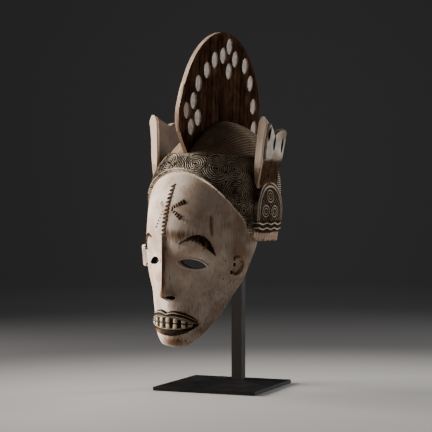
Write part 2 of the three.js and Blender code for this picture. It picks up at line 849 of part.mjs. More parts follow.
function archOutline(grow) {
  const corners = 9;
  const half = panel.halfLength + grow;
  const outline = Array.from({ length: corners + 1 }, (_, i) => {
    const swing = (Math.PI * i) / corners;
    return [panel.y - half * Math.cos(swing), panel.spring + (panel.rise + grow) * Math.sin(swing)];
  });
  return [[panel.y - half, panel.foot], ...outline, [panel.y + half, panel.foot]];
}

// Bare rim that the hair stands on, its lower edge cut into low steps
function bareRim() {
  const notches = [
    [116, 126],
    [133, 143],
    [150, 158],
    [166, bareEdge.back],
  ];
  const outline = [
    [bareEdge.front, rimHeight + 6],
    [112, rimHeight + 1],
  ];
  for (const [from, to] of notches) {
    outline.push([from, rimHeight + 1], [from, rimHeight]);
    outline.push([to, rimHeight], [to, rimHeight + 2.2]);
  }
  outline.push([bareEdge.topBack, bareEdge.top], [bareEdge.front, bareEdge.top]);
  return ontoSide(outline, -panel.root - hairRise, bareEdge.proud);
}

function sidePanel() {
  const [outerEdge, outerCut, innerEdge, innerCut] = panelArches.map(archOutline);
  const above = 12;
  const shield = ontoSide(outerEdge, -panel.root, panel.proud)
    .subtract(ontoSide(outerCut, panel.floor, above))
    .add(ontoSide(innerEdge, -panel.root, panel.proud))
    .subtract(ontoSide(innerCut, panel.floor, above));
  const rings = panelRings.map(([y, z, radius]) => {
    const circle = (t) => {
      const turn = 2 * Math.PI * t;
      return [y + radius * Math.cos(turn), z + radius * Math.sin(turn)];
    };
    return solidOf(ring(onSide(circle, panel.floor - 0.4), always(2), always(panel.proud), 4, 6));
  });
  const ridges = waves.heights.map((z) => {
    const wave = (t) => {
      const y = THREE.MathUtils.lerp(waves.from, waves.to, t);
      return [y, z + waves.swing * Math.cos((2 * Math.PI * (y - waves.from)) / waves.pitch)];
    };
    return solidOf(strip(onSide(wave, -0.2), always(waves.halfWidth), always(3.6), 4, 6));
  });
  return joined([shield, ontoSide(skirt, -panel.root, 0), ...rings, ...ridges]);
}

// What is left of the block seen from the side: the face ends in a slant, the cap in a low arch
const keptOutline = [
  [-60, -30],
  [33, -30],
  [41, 0.5],
  [47, 9],
  [55.5, 21],
  [69, 42],
  [82.5, 65],
  [96, 104],
  [105, 143],
  [112, 160],
  [120, rimHeight],
  [184, rimHeight],
  [214, 180],
  [240, 190],
  [320, 212],
  [320, 560],
  [-60, 560],
];

function maskSolid() {
  const bareHead = solidOf(headForm(0, 0.6, 312, 26, 19, 0.4));
  const band = solidOf(headForm(hairRise, hairBottom, bandTop, 26, 6, 0.2)).subtract(faceWindow());
  const dome = solidOf(headForm(domeRise, bandTop - 8, crownTop, 20, 6, 0));
  const crestBody = crestPlate().subtract(bothSides(crestHollows().add(crestGrooves())));
  const nostrilPair = nostril(1).add(nostril(-1));
  const faceWithNose = bareHead.add(solidOf(noseWedge())).subtract(nostrilPair);
  return joined([faceWithNose, band, dome, crestBody])
    .add(joined([gum(), lip(true), lip(false), teeth(), scars(), slantingScars()]))
    .add(joined([...eyes.map(eyeRim), ...brows.map(browCrescent), ...ears.map(earShell)]))
    .add(joined(medallionPlaces.map((place) => bothSides(hairMedallion(place)))))
    .add(finsOfBothSides())
    .add(bothSides(joined([sidePanel(), bareRim()])))
    .intersect(solidOf(sidePrism(keptOutline, 160)))
    .subtract(solidOf(headForm(-wall, ...hollowSpan, 14, 11, 0)))
    .subtract(joined(eyes.map(eyeSlit)));
}

// Stand: plate, post and the bar inside the mask that carries it
const cradle = {
  front: 88,
  back: 226,
  depth: 14,
  halfWidth: 9,
  underside: 288,
  riserHeight: 46,
  lowest: 296,
  highest: 380,
};

function plateGeometry() {
  const half = plateSide / 2 - plateEdge;
  const square = new THREE.Shape()
    .moveTo(-half, -half)
    .lineTo(half, -half)
    .lineTo(half, half)
    .lineTo(-half, half);
  const slab = new THREE.ExtrudeGeometry(square, {
    depth: plateThickness - 2 * plateEdge,
    bevelSize: plateEdge,
    bevelThickness: plateEdge,
    bevelSegments: 1,
  });
  return slab.translate(0, 0, plateEdge);
}

// From the mask's own frame to the stand's
const toStand = new THREE.Matrix4()
  .makeTranslation(postX, postY, plateThickness + chinAbovePlate + pivotHeight)
  .multiply(new THREE.Matrix4().makeRotationZ(THREE.MathUtils.degToRad(maskTurn)))
  .multiply(new THREE.Matrix4().makeRotationY(THREE.MathUtils.degToRad(maskRoll)))
  .multiply(new THREE.Matrix4().makeTranslation(0, -postBehindNose, -pivotHeight));
const postTop = plateThickness + chinAbovePlate + cradle.underside;

function cradleSolid() {
  const [low, high] = hollowSpan;
  const inside = headForm(-wall - touchGap, low, high - touchGap, 14, 11, 0);
  const deeper = headForm(-wall - touchGap - cradle.depth, low, high - cradle.depth, 14, 11, 0);
  const reach = [
    [cradle.front, cradle.lowest],
    [cradle.back, cradle.lowest],
    [cradle.back, cradle.highest],
    [cradle.front, cradle.highest],
  ];
  const bar = solidOf(inside)
    .subtract(solidOf(deeper))
    .intersect(solidOf(sidePrism(reach, cradle.halfWidth)));
  const barOnStand = solidOf(geometryOf(bar).applyMatrix4(toStand));
  const riser = new THREE.BoxGeometry(postSide, postSide, cradle.riserHeight);
  riser.translate(postX, postY, postTop + touchGap + cradle.riserHeight / 2);
  const insideOnStand = solidOf(inside.clone().applyMatrix4(toStand));
  return barOnStand.add(solidOf(riser).intersect(insideOnStand));
}

const wood = new THREE.MeshStandardMaterial({ color: 0xcdbfae, roughness: 0.85, metalness: 0 });
const blackSteel = new THREE.MeshStandardMaterial({ color: 0x1b1a1a, roughness: 0.55, metalness: 0.6 });
const brownSteel = new THREE.MeshStandardMaterial({ color: 0x3a302a, roughness: 0.6, metalness: 0.6 });

function piece(name, geometry, material) {
  const mesh = new THREE.Mesh(geometry, material);
  mesh.name = name;
  return mesh;
}

const postHeight = postTop - plateThickness - touchGap;
const post = piece("stand_post", new THREE.BoxGeometry(postSide, postSide, postHeight), brownSteel);
post.position.set(postX, postY, plateThickness + touchGap + postHeight / 2);

const mask = piece("mask", geometryOf(maskSolid()), wood);
mask.applyMatrix4(toStand);

const maskOnStand = new THREE.Group();
maskOnStand.add(piece("stand_plate", plateGeometry(), blackSteel));
maskOnStand.add(post);
maskOnStand.add(piece("stand_cradle", geometryOf(cradleSolid()), blackSteel.clone()));
maskOnStand.add(mask);

export default maskOnStand;
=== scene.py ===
import math

import bmesh
import bpy
import numpy as np
from mathutils import Matrix, Vector


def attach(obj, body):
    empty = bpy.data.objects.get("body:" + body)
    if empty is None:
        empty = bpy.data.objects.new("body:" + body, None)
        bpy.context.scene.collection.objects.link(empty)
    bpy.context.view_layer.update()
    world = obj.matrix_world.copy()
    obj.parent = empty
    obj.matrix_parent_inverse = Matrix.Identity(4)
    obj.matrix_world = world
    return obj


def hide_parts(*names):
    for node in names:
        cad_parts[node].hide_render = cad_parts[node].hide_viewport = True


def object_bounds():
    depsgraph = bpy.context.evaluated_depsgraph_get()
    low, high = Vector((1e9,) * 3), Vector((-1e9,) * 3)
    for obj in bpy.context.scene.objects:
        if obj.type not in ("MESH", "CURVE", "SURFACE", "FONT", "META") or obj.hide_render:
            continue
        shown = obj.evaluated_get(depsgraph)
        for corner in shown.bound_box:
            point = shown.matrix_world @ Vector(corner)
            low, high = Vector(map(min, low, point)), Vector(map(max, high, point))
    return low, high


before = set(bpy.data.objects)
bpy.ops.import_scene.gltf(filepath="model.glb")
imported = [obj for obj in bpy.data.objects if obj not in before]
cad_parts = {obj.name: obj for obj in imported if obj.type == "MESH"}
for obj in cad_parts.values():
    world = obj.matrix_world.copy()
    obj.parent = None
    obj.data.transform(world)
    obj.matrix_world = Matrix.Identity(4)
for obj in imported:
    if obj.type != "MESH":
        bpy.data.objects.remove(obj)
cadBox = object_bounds()
print("frame loaded")

# The mask is worked out in millimetres in its own frame: x to its left, y to the back, z up from
# the chin. This sets it on the post, turned and rolled as it hangs there.
standing = {"postX": 4, "postY": 58, "lift": 253.3, "turn": -13, "roll": 3, "behindNose": 211, "pivot": 180}


def maskToStand():
    s = standing
    turn = Matrix.Rotation(math.radians(s["turn"]), 4, "Z")
    roll = Matrix.Rotation(math.radians(s["roll"]), 4, "Y")
    place = Matrix.Translation((s["postX"], s["postY"], s["lift"]))
    pivot = Matrix.Translation((0, -s["behindNose"], -s["pivot"]))
    return Matrix.Scale(0.001, 4) @ place @ turn @ roll @ pivot


# Colours and nodes


def linear(code):
    channels = [int(code[i:i + 2], 16) / 255 for i in (1, 3, 5)]
    return [c / 12.92 if c <= 0.04045 else ((c + 0.055) / 1.055) ** 2.4 for c in channels] + [1]


# Inputs take a plain value, a socket, or a node, which stands for the first output it has in use.
# A kind that names no family is a shader node.
def addNode(tree, kind, inputs=None, **settings):
    node = tree.nodes.new(kind if "Node" in kind else "ShaderNode" + kind)
    for key, value in settings.items():
        setattr(node, key, value)
    for key, value in (inputs or {}).items():
        if isinstance(value, bpy.types.Node):
            value = next(output for output in value.outputs if output.enabled)
        if isinstance(value, bpy.types.NodeSocket):
            tree.links.new(value, node.inputs[key])
        elif isinstance(value, str) and value.startswith("#"):
            node.inputs[key].default_value = linear(value)
        else:
            node.inputs[key].default_value = value
    return node


# A shader with its fixed values, the object's coordinates and the named surface layers
def newFinish(name, values, layers=()):
    material = bpy.data.materials.new(name)
    material.use_nodes = True
    tree = material.node_tree
    tree.nodes.clear()
    shader = addNode(tree, "BsdfPrincipled", values)
    addNode(tree, "OutputMaterial", {"Surface": shader})
    place = addNode(tree, "TexCoord").outputs["Object"]
    read = [addNode(tree, "Attribute", attribute_name=key).outputs["Fac"] for key in layers]
    return material, place, *read


# The colour and the fine relief go to the shader.
def dressed(material, colour, height, strength, depthMm):
    tree = material.node_tree
    shader = tree.nodes["Principled BSDF"]
    depth = depthMm / 1000
    bump = addNode(tree, "Bump", {"Height": height, "Strength": strength, "Distance": depth})
    tree.links.new(colour.outputs[2], shader.inputs["Base Color"])
    tree.links.new(bump.outputs[0], shader.inputs["Normal"])
    return material


def perMetre(millimetres):
    return 1000 / millimetres


# Kaolin: white clay brushed over the wood. Matt and chalky, thin and brown where it has rubbed off, with
# painted shade in the cuts and on the mask's left side.
chalk = {
    "light": "#D2C4B6", "warm": "#AC927E", "thin": "#86634A", "rubbed": "#694A37", "grimeAndShade": "#2C2019",
    "cloudMm": 34, "brushMm": 2.2, "poreMm": 1.1, "speckMm": 6.6, "brushStretch": (1, 1, 0.12),
}


def makeChalk():
    c = chalk
    values = {"Roughness": 0.86, "Specular IOR Level": 0.25}
    material, place, wear, dirt = newFinish("kaolinClay", values, ("wear", "dirt"))
    tree = material.node_tree
    cloud = addNode(tree, "TexNoise", {"Vector": place, "Scale": perMetre(c["cloudMm"]), "Detail": 6})
    patch = addNode(tree, "MapRange", {0: cloud, 1: 0.38, 2: 0.66})
    base = addNode(tree, "Mix", {0: patch, 6: c["light"], 7: c["warm"]}, data_type="RGBA")
    # brush marks run up and down the face
    strokes = addNode(tree, "Mapping", {"Vector": place, "Scale": c["brushStretch"]})
    brush = addNode(tree, "TexNoise", {"Vector": strokes, "Scale": perMetre(c["brushMm"]), "Detail": 4})
    streak = addNode(tree, "MapRange", {0: brush, 1: 0.52, 2: 0.8, 4: 0.4})
    streaked = addNode(tree, "Mix", {0: streak, 6: base, 7: c["thin"]}, data_type="RGBA")
    # rubbed places, and painted shade on the mask's left side and under the nose, come from the stored
    # amount, broken up by the brush marks
    broken = addNode(tree, "Math", {0: brush, 1: 0.5}, operation="SUBTRACT")
    edge = addNode(tree, "Math", {0: broken, 1: 1.1, 2: wear}, operation="MULTIPLY_ADD")
    amount = addNode(tree, "MapRange", {0: edge, 1: 0.12, 2: 0.85})
    worn = addNode(tree, "Mix", {0: amount, 6: streaked, 7: c["rubbed"]}, data_type="RGBA")
    grit = {"Vector": place, "Scale": perMetre(c["speckMm"]), "Detail": 8, "Roughness": 0.75}
    speck = addNode(tree, "TexNoise", grit)
    specks = addNode(tree, "MapRange", {0: speck, 1: 0.63, 2: 0.74, 4: 0.7})
    dark = addNode(tree, "Math", {0: dirt, 1: specks}, operation="ADD", use_clamp=True)
    colour = addNode(tree, "Mix", {0: dark, 6: worn, 7: c["grimeAndShade"]}, data_type="RGBA")
    pores = addNode(tree, "TexNoise", {"Vector": place, "Scale": perMetre(c["poreMm"]), "Detail": 3})
    relief = addNode(tree, "Math", {0: brush, 1: 1.2, 2: pores}, operation="MULTIPLY_ADD")
    return dressed(material, colour, relief, 0.5, 0.4)


# Carved and blackened wood: soot and palm oil over knife cuts, greyed on the ridges by dust, and near-black
# with painted shade deep in the cuts.
carvedWood = {"cloudMm": 24, "grainMm": 2.6, "wobbleMm": 2.4, "soot": "#080504"}


def makeCarved(name, low, high, dust, dustAmount, strandMm, grainScale=(1, 1, 1)):
    c = carvedWood
    values = {"Roughness": 0.9, "Specular IOR Level": 0.02}
    layers = ("ridge", "strand", "combed", "dirt")
    material, place, ridge, strand, combed, dirt = newFinish(name, values, layers)
    tree = material.node_tree
    haze = {"Vector": place, "Scale": perMetre(c["cloudMm"]), "Detail": 6, "Roughness": 0.6}
    cloud = addNode(tree, "TexNoise", haze)
    stretch = addNode(tree, "Mapping", {"Vector": place, "Scale": grainScale})
    grain = addNode(tree, "TexNoise", {"Vector": stretch, "Scale": perMetre(c["grainMm"]), "Detail": 5})
    # fine knife strands, from the millimetres across them stored on the surface
    wobble = addNode(tree, "Math", {0: cloud, 1: c["wobbleMm"], 2: strand}, operation="MULTIPLY_ADD")
    turn = addNode(tree, "Math", {0: wobble, 1: 2 * math.pi / strandMm}, operation="MULTIPLY")
    wave = addNode(tree, "Math", {0: turn}, operation="SINE")
    strands = addNode(tree, "Math", {0: wave, 1: combed}, operation="MULTIPLY")
    tone = addNode(tree, "MapRange", {0: grain, 1: 0.3, 2: 0.72})
    ground = addNode(tree, "Mix", {0: tone, 6: low, 7: high}, data_type="RGBA")
    tops = addNode(tree, "Math", {0: strands, 1: 0.45, 2: ridge}, operation="MULTIPLY_ADD")
    dusty = addNode(tree, "Math", {0: tops, 1: cloud}, operation="MULTIPLY")
    amount = addNode(tree, "MapRange", {0: dusty, 1: 0.22, 2: 0.62, 4: dustAmount})
    dusted = addNode(tree, "Mix", {0: amount, 6: ground, 7: dust}, data_type="RGBA")
    colour = addNode(tree, "Mix", {0: dirt, 6: dusted, 7: c["soot"]}, data_type="RGBA")
    height = addNode(tree, "Math", {0: strands, 1: 0.8, 2: grain}, operation="MULTIPLY_ADD")
    return dressed(material, colour, height, 0.6, 0.5)


# Bare or thinly painted wood: grain along the piece, paler on handled edges and with a painted highlight on
# the fins' front edges, darkened in the hollows with painted shade.
def makeWood(name, pale, mid, hollowDirtAndShade, patchMm, grainScale, roughness, grainMm=1.8):
    values = {"Roughness": roughness, "Specular IOR Level": 0.3}
    material, place, wear, dirt = newFinish(name, values, ("wear", "dirt"))
    tree = material.node_tree
    stretch = addNode(tree, "Mapping", {"Vector": place, "Scale": grainScale})
    fibre = {"Vector": stretch, "Scale": perMetre(grainMm), "Detail": 6, "Distortion": 0.4}
    grain = addNode(tree, "TexNoise", fibre)
    patch = addNode(tree, "TexNoise", {"Vector": place, "Scale": perMetre(patchMm), "Detail": 5})
    mixed = addNode(tree, "Math", {0: grain, 1: 0.45, 2: patch}, operation="MULTIPLY_ADD")
    shifted = addNode(tree, "Math", {0: wear, 1: 0.6, 2: mixed}, operation="MULTIPLY_ADD")
    tone = addNode(tree, "MapRange", {0: shifted, 1: 0.55, 2: 1.05})
    base = addNode(tree, "Mix", {0: tone, 6: pale, 7: mid}, data_type="RGBA")
    colour = addNode(tree, "Mix", {0: dirt, 6: base, 7: hollowDirtAndShade}, data_type="RGBA")
    return dressed(material, colour, grain, 0.45, 0.4)


# Black pigment: charcoal in oil, nearly matt, rubbed through to yellow-brown wood in places.
pigment = {"black": "#0F0A08", "soft": "#3E2E22", "rubbed": "#80583A", "cloudMm": 6}


def makePigment():
    p = pigment
    values = {"Roughness": 0.75, "Specular IOR Level": 0.06}
    material, place, wear = newFinish("blackPigment", values, ("wear",))
    tree = material.node_tree
    cloud = addNode(tree, "TexNoise", {"Vector": place, "Scale": perMetre(p["cloudMm"]), "Detail": 6})
    tone = addNode(tree, "MapRange", {0: cloud, 1: 0.35, 2: 0.7})
    base = addNode(tree, "Mix", {0: tone, 6: p["black"], 7: p["soft"]}, data_type="RGBA")
    broken = addNode(tree, "Math", {0: wear, 1: cloud}, operation="MULTIPLY")
    amount = addNode(tree, "MapRange", {0: broken, 1: 0.2, 2: 0.5})
    colour = addNode(tree, "Mix", {0: amount, 6: base, 7: p["rubbed"]}, data_type="RGBA")
    return dressed(material, colour, cloud, 0.4, 0.5)


finishes = {
    "chalk": makeChalk(),
    "hair": makeCarved("blackenedHair", "#22170F", "#544031", "#D2C6B2", 0.95, 3.2),
    "dome": makeCarved("blackenedCap", "#523E2F", "#88715B", "#BFAF9A", 0.85, 3.4),
    "crest": makeCarved("smokedCrest", "#150904", "#4A2B19", "#8C6A4C", 0.75, 3.2, (1, 1, 0.05)),
    "neck": makeCarved("smokedFin", "#3A2A1F", "#8A6A4E", "#D0BCA2", 0.9, 3.0, (1, 1, 0.1)),
    "pigment": makePigment(),
    "rim": makeWood("bareRimWood", "#CDB8A2", "#94745A", "#4A3426", 20, (1, 1, 0.15), 0.7),
    "finBrown": makeWood("brownedWood", "#69553F", "#4A3424", "#1E130C", 22, (1, 1, 0.08), 0.75),
    "white": makeWood("wornWhitePaint", "#DED8CE", "#8B735C", "#2A1C14", 18, (1, 1, 0.3), 0.8),
    "leaf": makeWood("greyWhitePaint", "#E6DFD5", "#A89888", "#3A281C", 9, (1, 1, 0.2), 0.85),
    "tooth": makeWood("toothPaint", "#B9AD98", "#8A745A", "#120D0A", 5, (1, 1, 1), 0.6),
    "earBrown": makeWood("rubbedEarWood", "#C6B096", "#7E5C40", "#1E130C", 14, (1, 1, 0.4), 0.75),
    "lipLine": makeWood("paleLipCut", "#B8AA98", "#6E5B4A", "#1A120D", 5, (1, 1, 1), 0.8),
    # near-black lining for holes: painted shade in the eye slits, nostrils and pits
    "soot": makeWood("sootedCut", "#1A120D", "#0D0806", "#050302", 8, (1, 1, 1), 0.9),
    "inside": makeWood("rawInside", "#7C6148", "#4F3826", "#20150D", 30, (1, 1, 0.2), 0.85),
}
finishNames = list(finishes)
print("finishes ready")

# Measures and mesh helpers, all in millimetres in the mask's frame
sideSign = {"left": 1, "right": -1}


# How much of a ridge of this half width, standing at the centre, is left at the value
def slope(value, centre, half):
    return np.clip(1 - np.abs(value - centre) / half, 0, 1)


# 0 before the start and 1 past the end, which may be the lower of the two
def ramp(value, start, end):
    return np.clip((value - start) / (end - start), 0, 1)


# Faded to about a third at the spread
def gauss(value, centre, spread):
    return np.exp(-((value - centre) / spread) ** 2)


def fullTurn(count):
    return np.arange(count) * 2 * math.pi / count


# From -1 to 1, closer together towards both ends
def eased(count):
    return np.sin(np.linspace(-math.pi / 2, math.pi / 2, count))


def neighbours(count):
    return [(i, (i + 1) % count) for i in range(count)]


def linked(name, data):
    thing = bpy.data.objects.new(name, data)
    bpy.context.scene.collection.objects.link(thing)
    return thing


# One value or vector of each item of a mesh's collection
def arrayOf(items, key, width=1, kind=np.float64):
    values = np.empty(len(items) * width, kind)
    items.foreach_get(key, values)
    return values.reshape(-1, width) if width > 1 else values


def facingOut(thing):
    mesh = thing.data
    spots = arrayOf(mesh.vertices, "co", 3)
    mesh.calc_loop_triangles()
    a, b, c = (spots[corner] for corner in arrayOf(mesh.loop_triangles, "vertices", 3, np.int32).T)
    if (np.cross(a, b) * c).sum() < 0:
        mesh.flip_normals()
    return thing


def slotOf(name):
    return finishNames.index(name)


# A finish is one name for all faces, or the slot of each face.
def slotsOf(finish, count):
    return [slotOf(finish)] * count if isinstance(finish, str) else list(finish)


def painted(mesh, slots):
    mesh.materials.clear()
    for material in finishes.values():
        mesh.materials.append(material)
    count = len(mesh.polygons)
    mesh.polygons.foreach_set("material_index", np.full(count, slots, np.int32))
    mesh.polygons.foreach_set("use_smooth", np.ones(count, bool))


def meshObject(name, points, faces, finish):
    mesh = bpy.data.meshes.new(name)
    mesh.from_pydata(np.asarray(points, float).reshape(-1, 3).tolist(), [], faces)
    painted(mesh, slotsOf(finish, len(faces)))
    return facingOut(linked(name, mesh))


def gridQuads(rows, columns, start=0, wrap=False, flip=False):
    across = np.arange(columns if wrap else columns - 1)
    after = (across + 1) % columns
    quads = []
    for row in range(rows - 1):
        low = start + row * columns
        high = low + columns
        quads.append(np.stack([low + across, low + after, high + after, high + across], 1))
    quads = np.concatenate(quads)
    return (quads[:, ::-1] if flip else quads).tolist()


# A closed ball-like form from rings of points, with a point at each end.
def closedRings(name, rings, ends, finish):
    rows, columns = rings.shape[:2]
    points = np.concatenate([rings.reshape(-1, 3), np.array(ends, float)])
    faces = gridQuads(rows, columns, wrap=True)
    slots = slotsOf(finish, len(faces))
    slots += [slots[0], slots[-1]] * columns
    foot, top = rows * columns, (rows - 1) * columns
    for i, j in neighbours(columns):
        faces += [[foot, j, i], [foot + 1, top + i, top + j]]
    return meshObject(name, points, faces, slots)


# A closed slab between an outer and an inner sheet of the same rows and columns.
def slab(name, outer, inner, finish, edgeFinish=None, innerFinish=None):
    rows, columns = outer.shape[:2]
    count = rows * columns
    points = np.concatenate([outer.reshape(-1, 3), inner.reshape(-1, 3)])
    front = gridQuads(rows, columns)
    back = gridQuads(rows, columns, start=count, flip=True)
    border = list(range(columns))
    border += [r * columns + columns - 1 for r in range(1, rows)]
    border += [(rows - 1) * columns + i for i in range(columns - 2, -1, -1)]
    border += [r * columns for r in range(rows - 2, 0, -1)]
    walls = [[k, before, before + count, k + count] for k, before in zip(border, border[-1:] + border[:-1])]
    slots = slotsOf(finish, len(front))
    edge = slots[:1] if edgeFinish is None else [slotOf(edgeFinish)]
    slots += edge * len(back) if innerFinish is None else slotsOf(innerFinish, len(back))
    return meshObject(name, points, front + back + walls, slots + edge * len(walls))


# A slab whose two sheets differ only in x
def uprightSlab(name, outerX, innerX, y, z, *finish):
    outer, inner = (np.stack(np.broadcast_arrays(x, y, z), -1) for x in (outerX, innerX))
    return slab(name, outer, inner, *finish)


# A rounded strip along a path, or round a closed one.
def strip(name, points, outward, halfWidth, height, finish, sides, closed=False, section=None, lines=()):
    points = np.asarray(points, float)
    tangent = np.roll(points, -1, 0) - np.roll(points, 1, 0)
    if not closed:
        tangent[0] = points[1] - points[0]
        tangent[-1] = points[-1] - points[-2]
    tangent /= np.linalg.norm(tangent, axis=1)[:, None]
    sideways = np.cross(tangent, outward)
    turn = fullTurn(sides)
    across = np.cos(turn)
    out = np.sin(turn) * (section(np.cos(turn)) if section else 1)
    halfWidth = np.broadcast_to(halfWidth, len(points))
    height = np.broadcast_to(height, len(points))
    rings = points[:, None] + sideways[:, None] * (across * halfWidth[:, None])[..., None]
    rings = rings + outward[:, None] * (out * height[:, None])[..., None]
    if closed:
        quads = np.array(gridQuads(len(points) + 1, sides, wrap=True))[:, [0, 3, 2, 1]]
        return meshObject(name, rings, (quads % (len(points) * sides)).tolist(), finish)
    slots = np.full((len(points) - 1, sides), slotOf(finish))
    slots[4:-4, list(lines)] = slotOf("lipLine")
    return closedRings(name, rings, [points[0], points[-1]], slots.ravel().tolist())


def plainMesh(thing):
    evaluated = thing.evaluated_get(bpy.context.evaluated_depsgraph_get())
    mesh = bpy.data.meshes.new_from_object(evaluated)
    thing.modifiers.clear()
    old = thing.data
    thing.data = mesh
    bpy.data.meshes.remove(old)
    return thing


def carve(thing, tool, operation):
    modifier = thing.modifiers.new("carve", "BOOLEAN")
    modifier.operation = operation
    modifier.solver = "MANIFOLD"
    modifier.object = tool
    plainMesh(thing)
    bpy.data.objects.remove(tool)
    return thing


def mirrored(thing):
    mesh = thing.data.copy()
    mesh.transform(Matrix.Scale(-1, 4, (1, 0, 0)))
    mesh.flip_normals()
    return linked(thing.name + "Right", mesh)


# The bare head: rows of height, half width, front, widest, back and roundness of the front
headShape = {
    "rows": [
        [0, 0, 41, 41, 41, 2], [3, 22, 33, 47, 60, 2], [11, 35, 27.5, 58, 80, 1.9],
        [24, 47, 26, 69, 110, 1.8], [42, 58, 25, 83, 150, 1.7], [64, 69.5, 21, 96, 190, 1.65],
        [88, 80, 17.5, 107, 220, 1.62], [112, 92, 15, 115, 236, 1.66], [138, 100, 12.5, 121, 243, 1.67],
        [160, 101.5, 8, 126, 247, 1.74], [180, 99.5, 4.5, 130, 249, 1.75],
        [202, 98.5, 6.5, 134, 251, 1.82], [228, 98.5, 13, 138, 252, 1.9],
        [254, 97, 23.5, 142, 252, 1.95], [280, 92, 36.5, 145, 250, 1.95],
        [303, 78, 51.5, 148, 246, 1.85], [325, 63, 72, 149, 238, 1.8], [343, 48, 96, 150, 220, 1.95],
        [355, 30, 121, 150, 195, 2], [361, 13, 138, 150, 168, 2], [362.5, 0, 150, 150, 150, 2],
    ],
    # soft hollows and swellings: x, z, spread across, spread up, depth
    "hollows": [
        (39, 138, 19, 15, 7.5), (-39, 138, 19, 15, 7.5), (28, 39, 24, 20, -4), (-28, 39, 24, 20, -4),
    ],
    "wall": 11, "hairRise": 4.5, "domeRise": 3, "bandTop": 306, "rim": 174, "hairBottom": 187,
    "hairTop": 279, "hairHalfWidth": 93, "hairRoundness": 1.85,
    "columns": 240, "rowsUp": 126,
}
headRows = np.array(headShape["rows"], float)


def alongRows(t):
    last = len(headRows) - 1
    place = np.clip(t, 0, 1) * last
    i = np.minimum(place.astype(int), last - 1)
    f = (place - i)[..., None]
    before, start, end, after = (headRows[np.clip(i + k, 0, last)] for k in (-1, 0, 1, 2))
    slopeStart, slopeEnd = (end - before) / 2, (after - start) / 2
    bend = 2 * (start - end) + slopeStart + slopeEnd
    return start + f * (slopeStart + f * (3 * (end - start) - 2 * slopeStart - slopeEnd + f * bend))


placeSteps = np.linspace(0, 1, 6001)
heightSteps = np.maximum.accumulate(alongRows(placeSteps)[:, 0])


def rowPlace(z):
    return np.interp(z, heightSteps, placeSteps)


def signedPower(value, power):
    return np.sign(value) * np.abs(value) ** power


def headPoint(place, angle, rise):
    place, angle = np.broadcast_arrays(np.asarray(place, float), np.asarray(angle, float))
    z, halfWidth, front, widest, back, roundness = np.moveaxis(alongRows(place), -1, 0)
    ahead = np.cos(angle) > 0
    power = np.where(ahead, 2 / roundness, 1)
    reach = np.where(ahead, widest - front, back - widest) + rise
    x = (halfWidth + rise) * signedPower(np.sin(angle), power)
    y = widest - reach * signedPower(np.cos(angle), power)
    dip = 0
    for middleX, middleZ, acrossIt, upIt, depth in headShape["hollows"]:
        dip = dip + depth * np.exp(-((x - middleX) / acrossIt) ** 2 - ((z - middleZ) / upIt) ** 2)
    lift = rise * np.maximum(0, (place - 0.5) * 2) ** 2
    return np.stack([x, y + np.maximum(0, np.cos(angle)) * dip, z + lift], -1)


def headNormal(angle, z):
    place = rowPlace(z)
    aside = headPoint(place, angle + 0.02, 0) - headPoint(place, angle - 0.02, 0)
    up = headPoint(rowPlace(z + 2), angle, 0) - headPoint(rowPlace(z - 2), angle, 0)
    normal = np.cross(aside, up)
    return normal / np.linalg.norm(normal, axis=-1, keepdims=True)


def skinPoint(angle, z, rise):
    angle, z = np.broadcast_arrays(np.asarray(angle, float), np.asarray(z, float))
    return headPoint(rowPlace(z), angle, 0) + headNormal(angle, z) * np.asarray(rise, float)[..., None]


def faceAngle(x, z):
    row = alongRows(rowPlace(z))
    across = np.minimum(np.abs(x) / row[..., 1], 0.999)
    return np.sign(x) * np.arcsin(across ** (row[..., 5] / 2))


def onFace(x, z, rise=0.0):
    x, z = np.broadcast_arrays(np.asarray(x, float), np.asarray(z, float))
    angle = faceAngle(x, z)
    return skinPoint(angle, z, rise), headNormal(angle, z)


def headForm(name, rise, bottom, top, columns, rows, bias, finish):
    turn = fullTurn(columns) - math.pi
    angle = turn - bias * np.sin(turn)
    place = np.linspace(rowPlace(bottom), rowPlace(top), rows)
    rings = headPoint(place[:, None], angle[None, :], rise)
    ends = []
    for k, lift in ((0, -0.2), (-1, 0.2 + rise)):
        row = alongRows(place[k])
        ends.append([0, (row[2] + row[4]) / 2, row[0] + lift])
    return closedRings(name, rings, ends, finish)


def hairlineHeight(x):
    h = headShape
    across = np.minimum(np.abs(x) / h["hairHalfWidth"], 1)
    arch = (1 - across ** h["hairRoundness"]) ** (1 / h["hairRoundness"])
    return h["hairBottom"] + (h["hairTop"] - h["hairBottom"]) * arch


# Coiffure: a raised band with rings carved in a row, fine arcs between them
hair = {
    "pitch": 3.3, "depth": 0.95, "edge": 1.4, "groove": 0.8, "strokeHalf": 9, "strokePitch": 3.4,
    # angle from the middle of the face, height and radius of each
    "rings": [
        (17.5, 290, 11), (37.6, 284, 16), (53.4, 284, 15), (57.8, 248, 16), (65.6, 222, 14), (70, 200, 11),
    ],
    "fineColumns": 330, "coarseColumns": 56, "fineTo": 104, "rows": 74, "levelFrom": 38, "root": 4,
    # the carving fades towards the back, and keeps off the hairline and the top
    "fadeFrom": 128, "fadeTo": 110, "quietLow": (6, 7.5), "quietHigh": (3.5, 5),
}
ringSpots = []
for degrees, z, radius in hair["rings"]:
    for side in (1, -1):
        spot = skinPoint([math.radians(degrees) * side], [z], [headShape["hairRise"]])[0]
        ringSpots.append((spot, radius))


